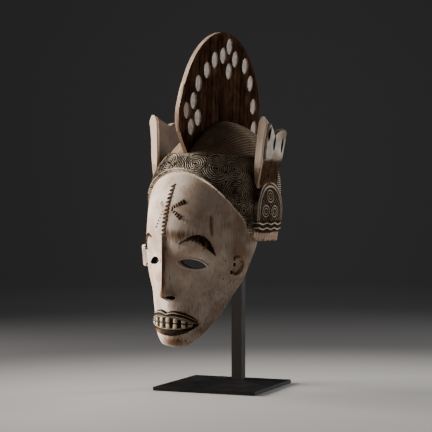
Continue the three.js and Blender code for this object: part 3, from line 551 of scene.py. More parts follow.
# How high the carving stands, from -1 in a cut to 1 on a ridge, for points on the band.
def hairCarving(points):
    nearest = np.full(points.shape[:-1], 1e9)
    distance = np.zeros(points.shape[:-1])
    for spot, radius in ringSpots:
        away = np.linalg.norm(points - spot, axis=-1)
        closer = away - radius < nearest
        nearest = np.where(closer, away - radius, nearest)
        distance = np.where(closer, away, distance)
    x, y, z = np.moveaxis(points, -1, 0)
    wander = 0.35 * np.sin(x * 0.31 + z * 0.23) + 0.3 * np.sin(z * 0.47 - x * 0.19)
    wave = np.cos(2 * math.pi * (distance + wander * (nearest > 0)) / hair["pitch"])
    # upright strokes between the first ring and the middle
    strokes = np.cos(2 * math.pi * x / hair["strokePitch"])
    middle = (np.abs(x) < hair["strokeHalf"]) & (z > 280)
    wave = np.where(middle & (nearest > 0), strokes, wave)
    # a little sharper than a sine, so that ridges are flat and cuts narrow
    shaped = np.clip(wave * 1.5 + 0.25, -1, 1)
    fade = ramp(y, hair["fadeFrom"], hair["fadeTo"])
    return shaped * (0.35 + 0.65 * np.clip(1.2 - nearest / 16, 0, 1)) * fade


def hairBand():
    fine = math.radians(hair["fineTo"])
    front = np.linspace(-fine, fine, hair["fineColumns"])
    rear = np.linspace(fine, 2 * math.pi - fine, hair["coarseColumns"] + 2)[1:-1]
    angle = np.concatenate([front, rear])
    low = np.full(angle.shape, 230.0)
    for _ in range(40):
        low = 0.5 * low + 0.5 * hairlineHeight(headPoint(rowPlace(low), angle, 0)[:, 0])
    isLevel = np.abs(np.sin(angle / 2)) > math.sin(math.radians(hair["levelFrom"]))
    low = np.where(isLevel, headShape["hairBottom"], low)
    up = np.linspace(0, 1, hair["rows"])
    z = low[None] + (headShape["bandTop"] - low)[None] * up[:, None]
    angles = np.broadcast_to(angle[None], z.shape)
    middle = skinPoint(angles, z, headShape["hairRise"])
    aboveLine = z - low[None]
    belowTop = headShape["bandTop"] - z
    carving = hairCarving(middle) * hair["depth"]
    quiet = ramp(aboveLine, *hair["quietLow"]) * ramp(belowTop, *hair["quietHigh"])
    lines = slope(aboveLine, 1.1, 1.3) + 0.6 * slope(aboveLine, 5, 1.2) + slope(belowTop, 1.6, 1.6)
    grooves = slope(aboveLine, 3.2, 1.0) + slope(belowTop, 4, 1.2)
    rise = headShape["hairRise"] + carving * quiet + hair["edge"] * lines - hair["groove"] * grooves
    outer = skinPoint(angles, z, rise)
    inner = skinPoint(angles, z, -hair["root"])
    rows, columns = z.shape
    count = rows * columns
    faces = gridQuads(rows, columns, wrap=True)
    faces += gridQuads(rows, columns, start=count, wrap=True, flip=True)
    top = (rows - 1) * columns
    for i, j in neighbours(columns):
        faces.append([j, i, count + i, count + j])
        faces.append([top + i, top + j, count + top + j, count + top + i])
    points = np.concatenate([outer.reshape(-1, 3), inner.reshape(-1, 3)])
    return meshObject("hairBand", points, faces, "hair")


# Copies of one small form on points, for bars, teeth, leaves and notches


def roundedBlock(name):
    corners = [(x, y, z) for x in (-0.5, 0.5) for y in (-0.5, 0.5) for z in (-0.5, 0.5)]
    faces = [(0, 1, 3, 2), (4, 6, 7, 5), (0, 4, 5, 1), (2, 3, 7, 6), (0, 2, 6, 4), (1, 5, 7, 3)]
    thing = meshObject(name, corners, faces, "pigment")
    bevel = thing.modifiers.new("edges", "BEVEL")
    bevel.width = 0.16
    bevel.segments = 2
    return plainMesh(thing)


# A leaf or lens outline, pointed at both ends, with a dished floor on its -z side.
def leafBlock(name, corners=20):
    turn = fullTurn(corners)
    taper = np.abs(np.cos(turn)) ** 2 * 0.25
    x = 0.5 * np.sin(turn) * (1 - taper)
    y = 0.5 * signedPower(np.cos(turn), 0.8)
    floor = np.stack([x * 0.86, y * 0.9, np.full(corners, -0.5)], 1)
    top = np.stack([x * 1.06, y * 1.04, np.full(corners, 0.5)], 1)
    points = np.concatenate([floor, top, [[0, 0, -0.56], [0, 0, 0.5]]])
    faces = []
    for i, j in neighbours(corners):
        faces += [[i, j, corners + j, corners + i], [2 * corners, j, i]]
        faces.append([2 * corners + 1, corners + i, corners + j])
    return meshObject(name, points, faces, "leaf")


copySizes = ("Width", "Length", "Height")
copyWays = ("outward", "along", "grow")


def makeCopiesTree():
    tree = bpy.data.node_groups.new("copiesOnPoints", "GeometryNodeTree")
    sockets = {"Points": "Geometry", "Copy": "Object", "Finish": "Material"}
    for key, kind in {**sockets, **dict.fromkeys(copySizes, "Float")}.items():
        tree.interface.new_socket(name=key, in_out="INPUT", socket_type="NodeSocket" + kind)
    tree.interface.new_socket(name="Result", in_out="OUTPUT", socket_type="NodeSocketGeometry")
    given = addNode(tree, "NodeGroupInput").outputs
    read = {"kind": "GeometryNodeInputNamedAttribute", "data_type": "FLOAT_VECTOR"}
    out, along, grow = (addNode(tree, inputs={"Name": key}, **read) for key in copyWays)
    axes = {"primary_axis": "Z", "secondary_axis": "Y"}
    turn = addNode(tree, "FunctionNodeAxesToRotation", {0: out, 1: along}, **axes)
    size = addNode(tree, "CombineXYZ", {k: given[key] for k, key in enumerate(copySizes)})
    scale = addNode(tree, "VectorMath", {0: size, 1: grow}, operation="MULTIPLY")
    form = addNode(tree, "GeometryNodeObjectInfo", {"Object": given["Copy"]}).outputs["Geometry"]
    each = {"Points": given["Points"], "Instance": form, "Rotation": turn, "Scale": scale}
    placed = addNode(tree, "GeometryNodeInstanceOnPoints", each)
    real = addNode(tree, "GeometryNodeRealizeInstances", {0: placed})
    paint = {"Geometry": real, "Material": given["Finish"]}
    addNode(tree, "NodeGroupOutput", {"Result": addNode(tree, "GeometryNodeSetMaterial", paint)})
    return tree


copiesTree = makeCopiesTree()
blockForm = roundedBlock("blockForm")
leafForm = leafBlock("leafForm")


def copies(name, form, points, outward, along, grow, sizes, finish):
    thing = meshObject(name, points, [], finish)
    for key, value in zip(copyWays, (outward, along, grow)):
        layer = thing.data.attributes.new(key, "FLOAT_VECTOR", "POINT")
        layer.data.foreach_set("vector", np.broadcast_to(value, (len(points), 3)).astype(float).ravel())
    modifier = thing.modifiers.new("copies", "NODES")
    modifier.node_group = copiesTree
    values = dict(zip(copySizes, sizes), Copy=form, Finish=finishes[finish])
    for item in copiesTree.interface.items_tree:
        if item.name in values:
            modifier[item.identifier] = values[item.name]
    painted(plainMesh(thing).data, slotOf(finish))
    return facingOut(thing)


# Face. Left and right are the mask's own, and were cut freehand, so they differ a little.
eyes = {
    "left": {"x": 37.5, "z": 135.4, "halfLength": 19.5, "above": 7, "below": 7, "tilt": -9},
    "right": {"x": -33.5, "z": 134.5, "halfLength": 18, "above": 8, "below": 4.2, "tilt": 9},
    "rim": 1.9, "rimRise": 0.9, "root": 0.2,
}
brows = {
    "left": {"inner": (24, 166), "apex": (50, 175), "outer": (68.5, 150), "thickness": 13},
    "right": {"inner": (-33, 174), "apex": (-52, 174), "outer": (-58.5, 152), "thickness": 9},
    "rise": 2.3, "root": 0.6, "lean": 1.4, "dots": 5, "dot": (3.9, 3.9, 4.4),
}
nose = {
    "top": 178, "tip": 80, "tipY": 4.5, "topY": 0.5, "halfWidthTop": 4.5, "halfWidthLow": 8.5,
    "halfWidthWing": 16, "bend": -1.6, "wingLift": 4.4, "underside": 9, "roundness": 1.15,
    "nostril": (9, 15.5, 80.5), "nostrilSize": (7, 9, 4.2),
}
mouth = {
    "z": 40.4, "halfWidth": 43, "upper": 18.5, "lower": 20.3, "notch": 3.2, "notchHalf": 5.5,
    "innerHalf": 36.5, "innerUpper": 9.6, "innerLower": 9.4, "rise": 6, "gum": 3.4, "root": 1.5,
    "teeth": (-31.5, -20.8, -9.0, 2.8, 14.5, 25.6, 33.0), "tooth": (6.4, 1.0, 6.6),
}
scar = {"top": 258, "bottom": 177, "bars": 13, "halfWidth": 4.4, "rise": 2.2, "aside": -1.6, "cut": 0.56}
# slanting rows: start x and z, lean in degrees, length, ticks, size of a tick
rows = [
    (6, 221, 31, 24, 6, (2.0, 7.2, 1.8), "pigment"), (6.5, 220, -36, 24, 5, (2.2, 6.4, 1.7), "pigment"),
    (26, 206, -36, 11, 2, (2.0, 5.0, 1.4), "chalk"), (-8, 218, -112, 32, 6, (1.9, 3.0, 1.4), "pigment"),
    (-9, 222, 137, 13, 4, (1.5, 5.0, 1.5), "chalk"),
]
ears = {
    "left": {"angle": 64.5, "z": 135, "halfHeight": 14, "rise": 7.2, "finish": "earBrown"},
    "right": {"angle": -57.5, "z": 140.5, "halfHeight": 15.5, "rise": 10, "finish": "chalk"},
    "halfWidth": 8.5, "girth": 106, "thick": 2.6, "cut": (4.2, 6.0, 4.6),
}
pits = [(78.3, 142.4), (73.8, 114), (15, 12.5), (27, 13)]


def almond(side, grow, count):
    e = eyes[side]
    turn = fullTurn(count)
    lean = math.radians(e["tilt"])
    out = (e["halfLength"] + grow) * np.cos(turn)
    up = (np.where(np.sin(turn) > 0, e["above"], e["below"]) + grow) * signedPower(np.sin(turn), 1.3)
    x = e["x"] + out * math.cos(lean) - up * math.sin(lean)
    return x, e["z"] + out * math.sin(lean) + up * math.cos(lean)


def eyeRim(side):
    x, z = almond(side, eyes["rim"] * 0.8, 80)
    points, outward = onFace(x, z, -eyes["root"])
    height = eyes["rimRise"] + eyes["root"]
    return strip("eyeRim", points, outward, eyes["rim"], height, "chalk", 10, closed=True)


def eyeSlit(side):
    x, z = almond(side, 0, 56)
    lean = 0.15 * sideSign[side]
    near = np.stack([x + lean * 45, np.full(56, -5.0), z], 1)
    far = np.stack([x - lean * 70, np.full(56, 110.0), z], 1)
    # the slit's walls are painted near-black, painted shade inside the cut
    return closedRings("eyeSlit", np.stack([near, far]), [near.mean(0), far.mean(0)], "soot")


def browPath(side, count):
    inner, apex, outer = (np.array(brows[side][key], float) for key in ("inner", "apex", "outer"))
    middle = 2 * apex - (inner + outer) / 2
    t = np.linspace(0, 1, count)
    u = 1 - t
    path = np.outer(u * u, inner) + np.outer(2 * u * t, middle) + np.outer(t * t, outer)
    swell = 0.7 + brows[side]["thickness"] / 2 * np.sin(math.pi * t ** brows["lean"]) ** 1.15
    return path, swell


def browPiece(side):
    path, swell = browPath(side, 56)
    points, outward = onFace(path[:, 0], path[:, 1], -brows["root"])
    ragged = 1 + 0.05 * np.sin(np.arange(56) * 1.9) + 0.04 * np.sin(np.arange(56) * 0.8)
    height = brows["rise"] + brows["root"]
    crescent = strip("brow" + side, points, outward, swell * ragged, height, "pigment", 18)
    # round cuts along the lower edge
    path, swell = browPath(side, 60)
    pick = np.linspace(16, 46, brows["dots"]).astype(int)
    step = np.gradient(path, axis=0)
    step /= np.linalg.norm(step, axis=1)[:, None]
    down = np.stack([step[:, 1], -step[:, 0]], 1) * sideSign[side]
    low = (path + down * (swell * 0.8)[:, None])[pick]
    spots, normals = onFace(low[:, 0], low[:, 1], 1.6)
    dots = copies("browDots", beadForm, spots, normals, (0, 0, 1), (1, 1, 1), brows["dot"], "chalk")
    return carve(crescent, dots, "DIFFERENCE")


def noseWedge():
    n = nose
    across = np.linspace(-1, 1, 43)[None, :]
    down = np.linspace(0, 1, 84)[:, None]
    flare = np.maximum(0, (down - 0.72) / 0.28)
    straight = n["halfWidthTop"] + (n["halfWidthLow"] - n["halfWidthTop"]) * down
    halfWidth = straight + (n["halfWidthWing"] - n["halfWidthLow"]) * flare ** 1.6
    aside = np.abs(across)
    z = n["top"] + (n["tip"] - n["top"]) * down + 0 * across
    ridge = n["topY"] + (n["tipY"] - n["topY"]) * down
    base = onFace(across * halfWidth * 1.25, z, -4)[0][..., 1]
    front = base + (ridge - base) * np.maximum(0, 1 - aside ** (n["roundness"] + flare)) ** 0.9
    x = across * halfWidth * 1.1 + n["bend"] * (1 - down)
    # the wings are cut up a little, and the underside slopes down and back to the lip
    lift = n["wingLift"] * ramp(aside, 0.08, 0.28) * (1 - 0.4 * ramp(aside, 0.75, 1))
    end = np.clip((down - 0.8) / 0.2, 0, 1)
    outer = np.stack([x, front, z + lift * end], -1)
    inner = np.stack([x * (1 - 0.35 * end), base + 8, z - n["underside"] * end ** 2], -1)
    return slab("nose", outer, inner, "chalk")


def ellipsoid(name, centre, size, finish, columns=24, rows=12):
    turn = fullTurn(columns)
    tilt = np.linspace(-math.pi / 2, math.pi / 2, rows + 2)[1:-1]
    wide, high = np.cos(tilt)[:, None], np.sin(tilt)[:, None]
    rings = np.stack([wide * np.cos(turn), wide * np.sin(turn), high + 0 * turn], -1)
    rings = rings * np.array(size) + np.array(centre)
    ends = [np.array(centre) + [0, 0, height] for height in (-size[2], size[2])]
    return closedRings(name, rings, ends, finish)


beadForm = ellipsoid("beadForm", (0, 0, 0), (0.5, 0.5, 0.5), "chalk", 14, 7)


# Height of the lip's outer and inner edge over the middle of the mouth, above it and below it.
def lipEdges(x, isUpper):
    m = mouth
    wide = np.minimum(np.abs(x) / m["halfWidth"], 1)
    narrow = np.minimum(np.abs(x) / m["innerHalf"], 1)
    if isUpper:
        notch = m["notch"] * gauss(x, 0, m["notchHalf"]) - 0.8 * gauss(np.abs(x), 13, 6)
        return m["upper"] * (1 - wide ** 3) ** 0.62 - notch, m["innerUpper"] * (1 - narrow ** 2) ** 0.75
    return m["lower"] * (1 - wide ** 2.2) ** 0.8, m["innerLower"] * (1 - narrow ** 2) ** 0.42


def mouthSwell(x):
    return np.maximum(0, 1 - (np.abs(x) / mouth["halfWidth"]) ** 2.4) ** 0.6


def lip(isUpper):
    x = mouth["halfWidth"] * eased(92) * 0.9985
    high, low = lipEdges(x, isUpper)
    sign = 1 if isUpper else -1
    points, outward = onFace(x, mouth["z"] + sign * (high + low) / 2, -mouth["root"])
    halfWidth = 0.9 + (high - low) / 2
    height = mouth["root"] + 0.5 + (mouth["rise"] - 0.5) * mouthSwell(x)
    # two lines are cut along the upper lip and show the pale ground
    section = lambda across: 1 - 0.13 * gauss(np.abs(across), 0.5, 0.1) * isUpper
    lines = (4, 8) if isUpper else ()
    return strip("lip", points, outward, halfWidth, height, "pigment", 26, section=section, lines=lines)


# thin pale line between lip and teeth
def innerLip():
    turn = np.linspace(0, 2 * math.pi, 141)[:-1]
    x = (mouth["innerHalf"] - 0.5) * np.cos(turn)
    reach = np.where(np.sin(turn) > 0, lipEdges(x, True)[1], -lipEdges(x, False)[1])
    points, outward = onFace(x, mouth["z"] + reach * 0.98, mouth["gum"] * 0.5)
    height = mouth["gum"] * 0.5 + 1.6 * mouthSwell(x)
    return strip("innerLip", points, outward, 0.8, height, "tooth", 8, closed=True)


def gum():
    x = mouth["halfWidth"] * eased(60) * 0.97
    points, outward = onFace(x, mouth["z"], -mouth["root"])
    halfWidth = 1.5 + lipEdges(x, False)[1] * 1.25
    height = 0.2 + (mouth["gum"] + mouth["root"]) * mouthSwell(x)
    return strip("gum", points, outward, halfWidth, height, "pigment", 20)


def teeth():
    spots, grow = [], []
    for sign in (1, -1):
        for x in mouth["teeth"]:
            half = (lipEdges(np.float64(x), sign > 0)[1] - 1.6) / 2
            spots.append((x, mouth["z"] + sign * (half + 0.9)))
            grow.append((1, 2 * half, mouthSwell(x)))
    spots, grow = np.array(spots), np.array(grow)
    points, outward = onFace(spots[:, 0], spots[:, 1], mouth["gum"] * grow[:, 2] * 0.55)
    return copies("teeth", blockForm, points, outward, (0, 0, 1), grow, mouth["tooth"], "tooth")


def scarLine():
    z = np.linspace(scar["bottom"] - 1, scar["top"] + 1, 60)
    points, outward = onFace(scar["aside"], z, -0.5)
    line = strip("scarLine", points, outward, scar["halfWidth"], scar["rise"] + 0.5, "chalk", 14)
    pitch = (scar["top"] - scar["bottom"]) / scar["bars"]
    heights = scar["bottom"] + (np.arange(scar["bars"]) + 0.5) * pitch
    spots, normals = onFace(scar["aside"] + 0.4, heights, scar["rise"])
    size = (2.2 * scar["halfWidth"], pitch * scar["cut"], 2 * scar["rise"] - 0.4)
    notches = copies("notches", blockForm, spots, normals, (-0.12, 0, 1), (1, 1, 1), size, "pigment")
    return carve(line, notches, "DIFFERENCE")


def slantingTicks():
    pieces = []
    for x, z, lean, length, count, size, finish in rows:
        lean = math.radians(lean)
        reach = (np.arange(count) + 0.5) / count * length
        points, outward = onFace(x + reach * math.cos(lean), z + reach * math.sin(lean), 0.1)
        ways = np.array([(-math.sin(lean), 0, math.cos(lean))] * count)
        grow = np.linspace(0.65, 1.15, count)[:, None] * [1, 1, 1]
        pieces.append(copies("ticks", blockForm, points, outward, ways, grow, size, finish))
    return pieces


def ear(side):
    e = ears[side]
    sign = sideSign[side]
    turn = np.radians(np.linspace(135, -125, 48))
    angle = math.radians(e["angle"]) + sign * ears["halfWidth"] * np.cos(turn) / ears["girth"]
    z = e["z"] + e["halfHeight"] * np.sin(turn)
    points = skinPoint(angle, z, -0.5)
    taper = 0.5 + 0.5 * np.sin(np.linspace(0, math.pi, 48)) ** 0.6
    outward = headNormal(angle, z)
    rim = strip("ear" + side, points, outward, ears["thick"], e["rise"] * taper, e["finish"], 16)
    cuts = math.radians(e["angle"]) + sign * np.array([-5.5, -4.5, -6.0]) / ears["girth"]
    z = e["z"] + e["halfHeight"] * np.array([0.8, 0.12, -0.75])
    spots = skinPoint(cuts, z, 0.2)
    outward = headNormal(cuts, z)
    return rim, copies("earCuts", blockForm, spots, outward, (0, 0, 1), (1, 1, 1), ears["cut"], "pigment")


def facePits():
    spots = np.array(pits, float)
    points, outward = onFace(spots[:, 0], spots[:, 1], 0.3)
    # the pits are lined with near-black painted shade
    return copies("pits", blockForm, points, outward, (0, 0, 1), (1, 1, 1), (1.8, 2.8, 2.4), "soot")


print("face and hair defined")

# Central crest: a thin egg-shaped plate, grooved up and down, with leaf-shaped hollows
crest = {
    "y": 142, "z": 378, "halfLength": 110.5, "up": 132, "down": 113, "half": 4.6, "rimWidth": 5,
    "groovePitch": 3.3, "grooveDepth": 0.6, "spacing": 0.82, "rows": 15,
    "chin": 8.2, "chinHeight": 355, "chinSpread": 45,
    "leafLength": 29, "leafWidth": 19, "leafDepth": 1.5,
    # y and z of each leaf
    "leaves": [
        (155.7, 488.1), (138.4, 471.6), (115.6, 462.5), (173, 469.1), (156.3, 447.6),
        (202.9, 460.5), (95, 444.4), (73.2, 421.3), (221.1, 432.8), (61.7, 392.7),
        (232.8, 394.6), (44.9, 376.4), (75.2, 366.7), (58.1, 351.1), (237.5, 357.1),
    ],
}


# The crest juts forward a little above the hair.
def crestForward(y, z):
    swell = gauss(z, crest["chinHeight"], crest["chinSpread"])
    return y - crest["chin"] * swell * np.maximum(0, (crest["y"] - y) / crest["halfLength"]) ** 2


def crestPlate():
    c = crest
    inside = np.arange(-0.965, 0.9651, c["spacing"] / c["halfLength"])
    ends = np.sin(np.linspace(math.asin(0.968), math.pi / 2 - 0.012, 9))
    across = np.concatenate([-ends[::-1], inside, ends])
    slim = np.where(across < 0, 1.07, 1.0)
    high = c["z"] + c["up"] * (1 - np.abs(across) ** (2 / slim)) ** (slim / 2)
    low = c["z"] - c["down"] * np.sqrt(1 - across ** 2)
    up = (1 - np.cos(np.linspace(0, math.pi, c["rows"]))) / 2 * 0.5 + np.linspace(0, 1, c["rows"]) * 0.5
    z = low[None] + (high - low)[None] * up[:, None]
    y = np.broadcast_to(c["y"] + across * c["halfLength"], z.shape)
    # no grooves on the border, and a rounded edge
    inset = np.minimum(np.minimum(z - low, high - z), (1 - np.abs(across)) * c["halfLength"])
    rough = 1 + 0.5 * np.sin(y * 1.7 + 2 * np.sin(z * 0.02)) + 0.35 * np.sin(y * 0.53)
    groove = np.cos(2 * math.pi * (y + 0.5 * np.sin(z * 0.031 + y * 0.4)) / c["groovePitch"])
    carved = c["grooveDepth"] * (groove - 1) / 2 * rough * ramp(inset, c["rimWidth"], c["rimWidth"] + 3)
    rounding = 0.9 * np.clip(1 - inset / 1.2, 0, 1) ** 2
    half = c["half"] + carved - rounding
    return uprightSlab("crest", half, -half, crestForward(y, z), z, "crest", "rim", "crest")


def leafCutters():
    c = crest
    spots = np.array([(side * (c["half"] + 1.0), y, z) for side in (1, -1) for y, z in c["leaves"]])
    outs = np.array([(side, 0, 0) for side in (1, -1) for _ in c["leaves"]])
    ways = np.stack([0 * spots[:, 1], (spots[:, 1] - c["y"]) * 0.0007, 1 + 0 * spots[:, 1]], 1)
    size = (c["leafWidth"], c["leafLength"], 2 * (1.0 + c["leafDepth"]) / 1.06)
    return copies("leaves", leafForm, spots, outs, ways, (1, 1, 1), size, "leaf")


# Side fins: thin upright plates that lean outward, pointed at the foot and thick at the top. Each
# row holds a height, the x of the middle and half the thickness at the front edge.
fin = {
    "rows": [
        (258, 101, 0.8), (268, 101.3, 3.4), (283, 101.9, 5.5), (305, 103.6, 7.1), (328, 105.2, 7),
        (345, 107, 7.5), (361, 109.3, 8.3), (372, 109.6, 3.5),
    ],
    "bottom": 258, "front": 104, "depth": 70, "toeIn": 3, "thinning": 0.4,
    "tops": {
        "left": [
            (104, 371.5), (109, 366.5), (115, 360), (125.5, 352.5), (136.5, 342.5), (142, 348.5),
            (152.8, 353), (166, 355), (172, 351),
        ],
        "right": [
            (104, 371.5), (111.5, 368), (120, 364), (129, 360), (143.5, 355.5), (152, 360),
            (161, 362), (169, 361), (173.5, 354),
        ],
    },
    "backLine": [
        (258, 166), (275, 166), (296, 167), (303, 168.5), (313, 170.5), (336, 174), (346, 173.5),
    ],
    "back": 173, "footFrom": 268, "footInset": 5, "plateGrid": (38, 48), "carvingGrid": (76, 40),
    # hollow of the inner side: depth, its middle and half width, and the heights it deepens between
    "dish": 1.4, "dishMiddle": 35, "dishHalf": 30, "dishHeights": (280, 320),
    "columnFrom": 303, "columnRise": 0.42, "neckPitch": 3.3, "neckDepth": 1.5, "rimWide": 6.5,
    "slits": [(116, 344), (137.2, 330.4), (164.5, 328.3)], "slit": (7.4, 25, 10.5),
}


def finCentre(y, z):
    height, middle, _ = np.array(fin["rows"], float).T
    return np.interp(z, height, middle) - fin["toeIn"] * (y - fin["front"]) / fin["depth"]


def finHalf(y, z):
    height, _, half = np.array(fin["rows"], float).T
    return np.interp(z, height, half) * (1 - fin["thinning"] * (y - fin["front"]) / fin["depth"])


def finSheet(side, columns, rows, frontInset, topInset, bottom):
    topY, topZ = np.array(fin["tops"][side], float).T
    backZ, backY = np.array(fin["backLine"], float).T
    v = np.linspace(0, 1, columns)[None, :]
    w = np.linspace(0, 1, rows)[:, None]
    front = fin["front"] + frontInset
    guess = front + (fin["back"] - front) * v
    high = np.interp(guess, topY, topZ) - topInset
    z = bottom + (high - bottom) * w
    front = front + ramp(z, fin["footFrom"], fin["bottom"]) * fin["footInset"]
    y = front + (np.interp(z, backZ, backY) - front) * v
    return y, z


def finPlate(side):
    y, z = finSheet(side, *fin["plateGrid"], 0, 0, fin["bottom"])
    rows, columns = z.shape
    border = np.linspace(0, fin["depth"], columns)[None, :]
    edge = np.minimum(np.minimum(border, fin["depth"] - border), np.linspace(1, 0, rows)[:, None] * 100)
    half = finHalf(y, z) - np.clip(1 - edge / 1.7, 0, 1) ** 2
    dished = fin["dish"] * slope(border, fin["dishMiddle"], fin["dishHalf"]) * ramp(z, *fin["dishHeights"])
    middle = finCentre(y, z)
    slots = np.full((rows - 1, columns - 1), slotOf("finBrown"))
    slots[:, :3] = slotOf("rim")
    slots = slots.ravel().tolist()
    return uprightSlab("finPlate", middle + half, middle - half + dished, y, z, slots, "rim", slots)


def finCarving(side):
    y, z = finSheet(side, *fin["carvingGrid"], fin["rimWide"], 1.6, 262)
    past = np.linspace(0, fin["depth"] - fin["rimWide"], z.shape[1])[None, :]
    column = np.clip((past - 1.2) / 1.4, 0, 1) * np.clip((z - fin["columnFrom"]) / 2.2, 0, 1)
    neck = np.cos(2 * math.pi * (y + 0.8 * np.sin(z * 0.09)) / fin["neckPitch"])
    neckPart = ramp(z, fin["columnFrom"], fin["columnFrom"] - 2) * ramp(past, 0, 2)
    shelf = np.clip(1 - np.abs(z - fin["columnFrom"] - 1.5) / 1.5, 0, 1) * 0.5
    half = finHalf(y, z)
    rise = -0.6 + column * (fin["columnRise"] * half + 0.6)
    rise = rise + neckPart * (0.9 + fin["neckDepth"] * neck * 0.5) + shelf
    middle = finCentre(y, z)
    middleZ = (z[1:, 1:] + z[:-1, :-1]) / 2
    middlePast = np.broadcast_to(past, z.shape)[1:, 1:]
    slots = np.where(middleZ > fin["columnFrom"], slotOf("white"), slotOf("neck"))
    slots = np.where(middlePast < 1.4, slotOf("crest"), slots).ravel().tolist()
    return uprightSlab("finCarving", middle + half + rise, middle + half * 0.2, y, z, slots, "white")


def finSlits():
    spots = np.array([(finCentre(y, z) + finHalf(y, z) * 1.6, y, z) for y, z in fin["slits"]])
    size = fin["slit"]
    return copies("slits", leafForm, spots, (1, 0, -0.15), (0.1, 0, 1), (1, 1, 1), size, "pigment")


# Side panels: a shield under a double arch with rings, two wavy ridges, and the bare rim
panel = {
    "y": 144.5, "halfLength": 38.5, "spring": 222, "rise": 48, "foot": 206, "proud": 2.6, "floor": 0.7,
    "rings": [(142, 246, 9.5), (129, 222, 9), (155, 222, 9)],
    "waveHeights": (202, 194), "waveFrom": 110, "waveTo": 180, "wavePitch": 23, "waveSwing": 1.1,
    "notches": [(116, 126), (133, 143), (150, 158), (166, 178)],
    # how the side bulges, and how deep all its pieces are rooted
    "bulge": 2.4, "bulgeZ": 222, "bulgeHeight": 48, "bulgeDepth": 60, "root": 9, "weave": 7.0,
    "skirtHeights": (189, 208), "skirtFront": 107, "skirtBack": 181.5, "rimFront": 104, "rimTop": 191,
}


def panelSide(y, z, rise):
    row = alongRows(rowPlace(z))
    bow = 1 - ((y - panel["y"]) / panel["bulgeDepth"]) ** 2
    swell = panel["bulge"] * np.maximum(0, 1 - ((z - panel["bulgeZ"]) / panel["bulgeHeight"]) ** 2)
    behind = np.maximum(0, y - row[..., 3])
    return row[..., 1] + headShape["hairRise"] + rise + swell * bow - 0.0016 * behind ** 2


def ridgeAt(value, centre, half):
    return slope(value, centre, half) ** 0.7


# Height of the carving inside the arch, 0 on the floor and 1 on a ridge.
def panelCarving(y, z):
    p = panel
    sideways = np.abs(y - p["y"]) / p["halfLength"]
    overArch = np.sqrt(sideways ** 2 + (np.maximum(0, z - p["spring"]) / p["rise"]) ** 2)
    inset = (1 - overArch) * p["halfLength"]
    arches = np.maximum(ridgeAt(inset, 1.7, 2.1), ridgeAt(inset, 6.6, 1.9))
    inner = inset > 9.2
    rings = np.zeros(y.shape)
    for cy, cz, radius in p["rings"]:
        away = np.hypot(y - cy, z - cz)
        rings = np.maximum(rings, ridgeAt(away, radius, 1.5))
        rings = np.maximum(rings, ridgeAt(away, radius * 0.52, 1.3))
        rings = np.maximum(rings, ridgeAt(away, 0, 1.6))
    crossed = (ridgeAt(way % p["weave"], p["weave"] / 2, 1.0) for way in (y + z, y - z))
    weave = 0.7 * np.maximum(*crossed)
    clear = np.minimum.reduce([np.hypot(y - cy, z - cz) - radius for cy, cz, radius in p["rings"]])
    field = np.where(clear > 2.2, weave, rings)
    return np.where(inner, field, arches)


def archTop(y):
    across = np.clip((y - panel["y"]) / panel["halfLength"], -1, 1)
    return panel["spring"] + panel["rise"] * np.sqrt(1 - across ** 2)


def sidePanel():
    p = panel
    across = 0.5 * eased(78) + 0.5 * np.linspace(-1, 1, 78)
    y = p["y"] + p["halfLength"] * across[None, :]
    w = np.linspace(0, 1, 66)[:, None]
    z = p["foot"] + (archTop(y) - p["foot"]) * w
    y = np.broadcast_to(y, z.shape)
    rise = p["floor"] + (p["proud"] - p["floor"]) * panelCarving(y, z)
    return uprightSlab("panel", panelSide(y, z, rise), panelSide(y, z, -p["root"]), y, z, "hair")


# Ground of the wavy ridges, between the shield and the bare rim
def skirt():
    p = panel
    low, high = p["skirtHeights"]
    front = p["skirtFront"]
    z = np.linspace(low, high, 12)[:, None]
    back = p["skirtBack"] + 1.5 * (z - low) / (high - low)
    y = front + (back - front) * np.linspace(0, 1, 40)[None, :]
    soft = 0.8 * ramp(y, 179, 183) ** 2
    return uprightSlab("skirt", panelSide(y, z, -soft), panelSide(y, z, -p["root"]), y, z, "hair")


def waveLift(y):
    return panel["waveSwing"] * np.cos(2 * math.pi * (y - panel["waveFrom"]) / panel["wavePitch"])


def waveRidge(height):
    y = np.linspace(panel["waveFrom"], panel["waveTo"], 72)
    z = height + waveLift(y)
    points = np.stack([panelSide(y, z, -0.6), y, z], 1)
    outward = np.broadcast_to(np.array([1.0, 0, 0]), points.shape)
    return strip("wave", points, outward, 2.1, 3.8, "hair", 10)


def bareRim():
    across = np.linspace(0, 1, 159)
    front, top = panel["rimFront"], panel["rimTop"]
    y = front + 74 * across
    low = np.full(y.shape, headShape["rim"] + 1.8)
    for start, end in panel["notches"]:
        low = np.where((y > start) & (y < end), headShape["rim"] + 0.5, low)
    low = low + ramp(y, front + 8, front) * 5 + 0.5 * np.sin(y * 0.9) * np.sin(y * 0.37)
    w = np.linspace(0, 1, 11)[:, None]
    z = low[None] + (top - low)[None] * w
    y = y[None] + 3.5 * w * across[None]
    soft = 0.9 * (1 - np.clip(w / 0.15, 0, 1)) ** 2 + 0.35 * np.sin(y * 0.8 + z * 0.5) * np.sin(z * 0.7)
    inner = panelSide(y, z, -panel["root"] - headShape["hairRise"])
    return uprightSlab("bareRim", panelSide(y, z, -1.7 - soft), inner, y, z, "rim")


# The block seen from the side: the face ends in a slant, the cap in a low arch.
keptOutline = [
    (-60, -30), (33, -30), (41, 0.5), (47, 9), (55.5, 21), (69, 42), (82.5, 65), (96, 104), (105, 143),
    (112, 160), (120, 174), (184, 174), (214, 180), (240, 190), (320, 212), (320, 560), (-60, 560),
]


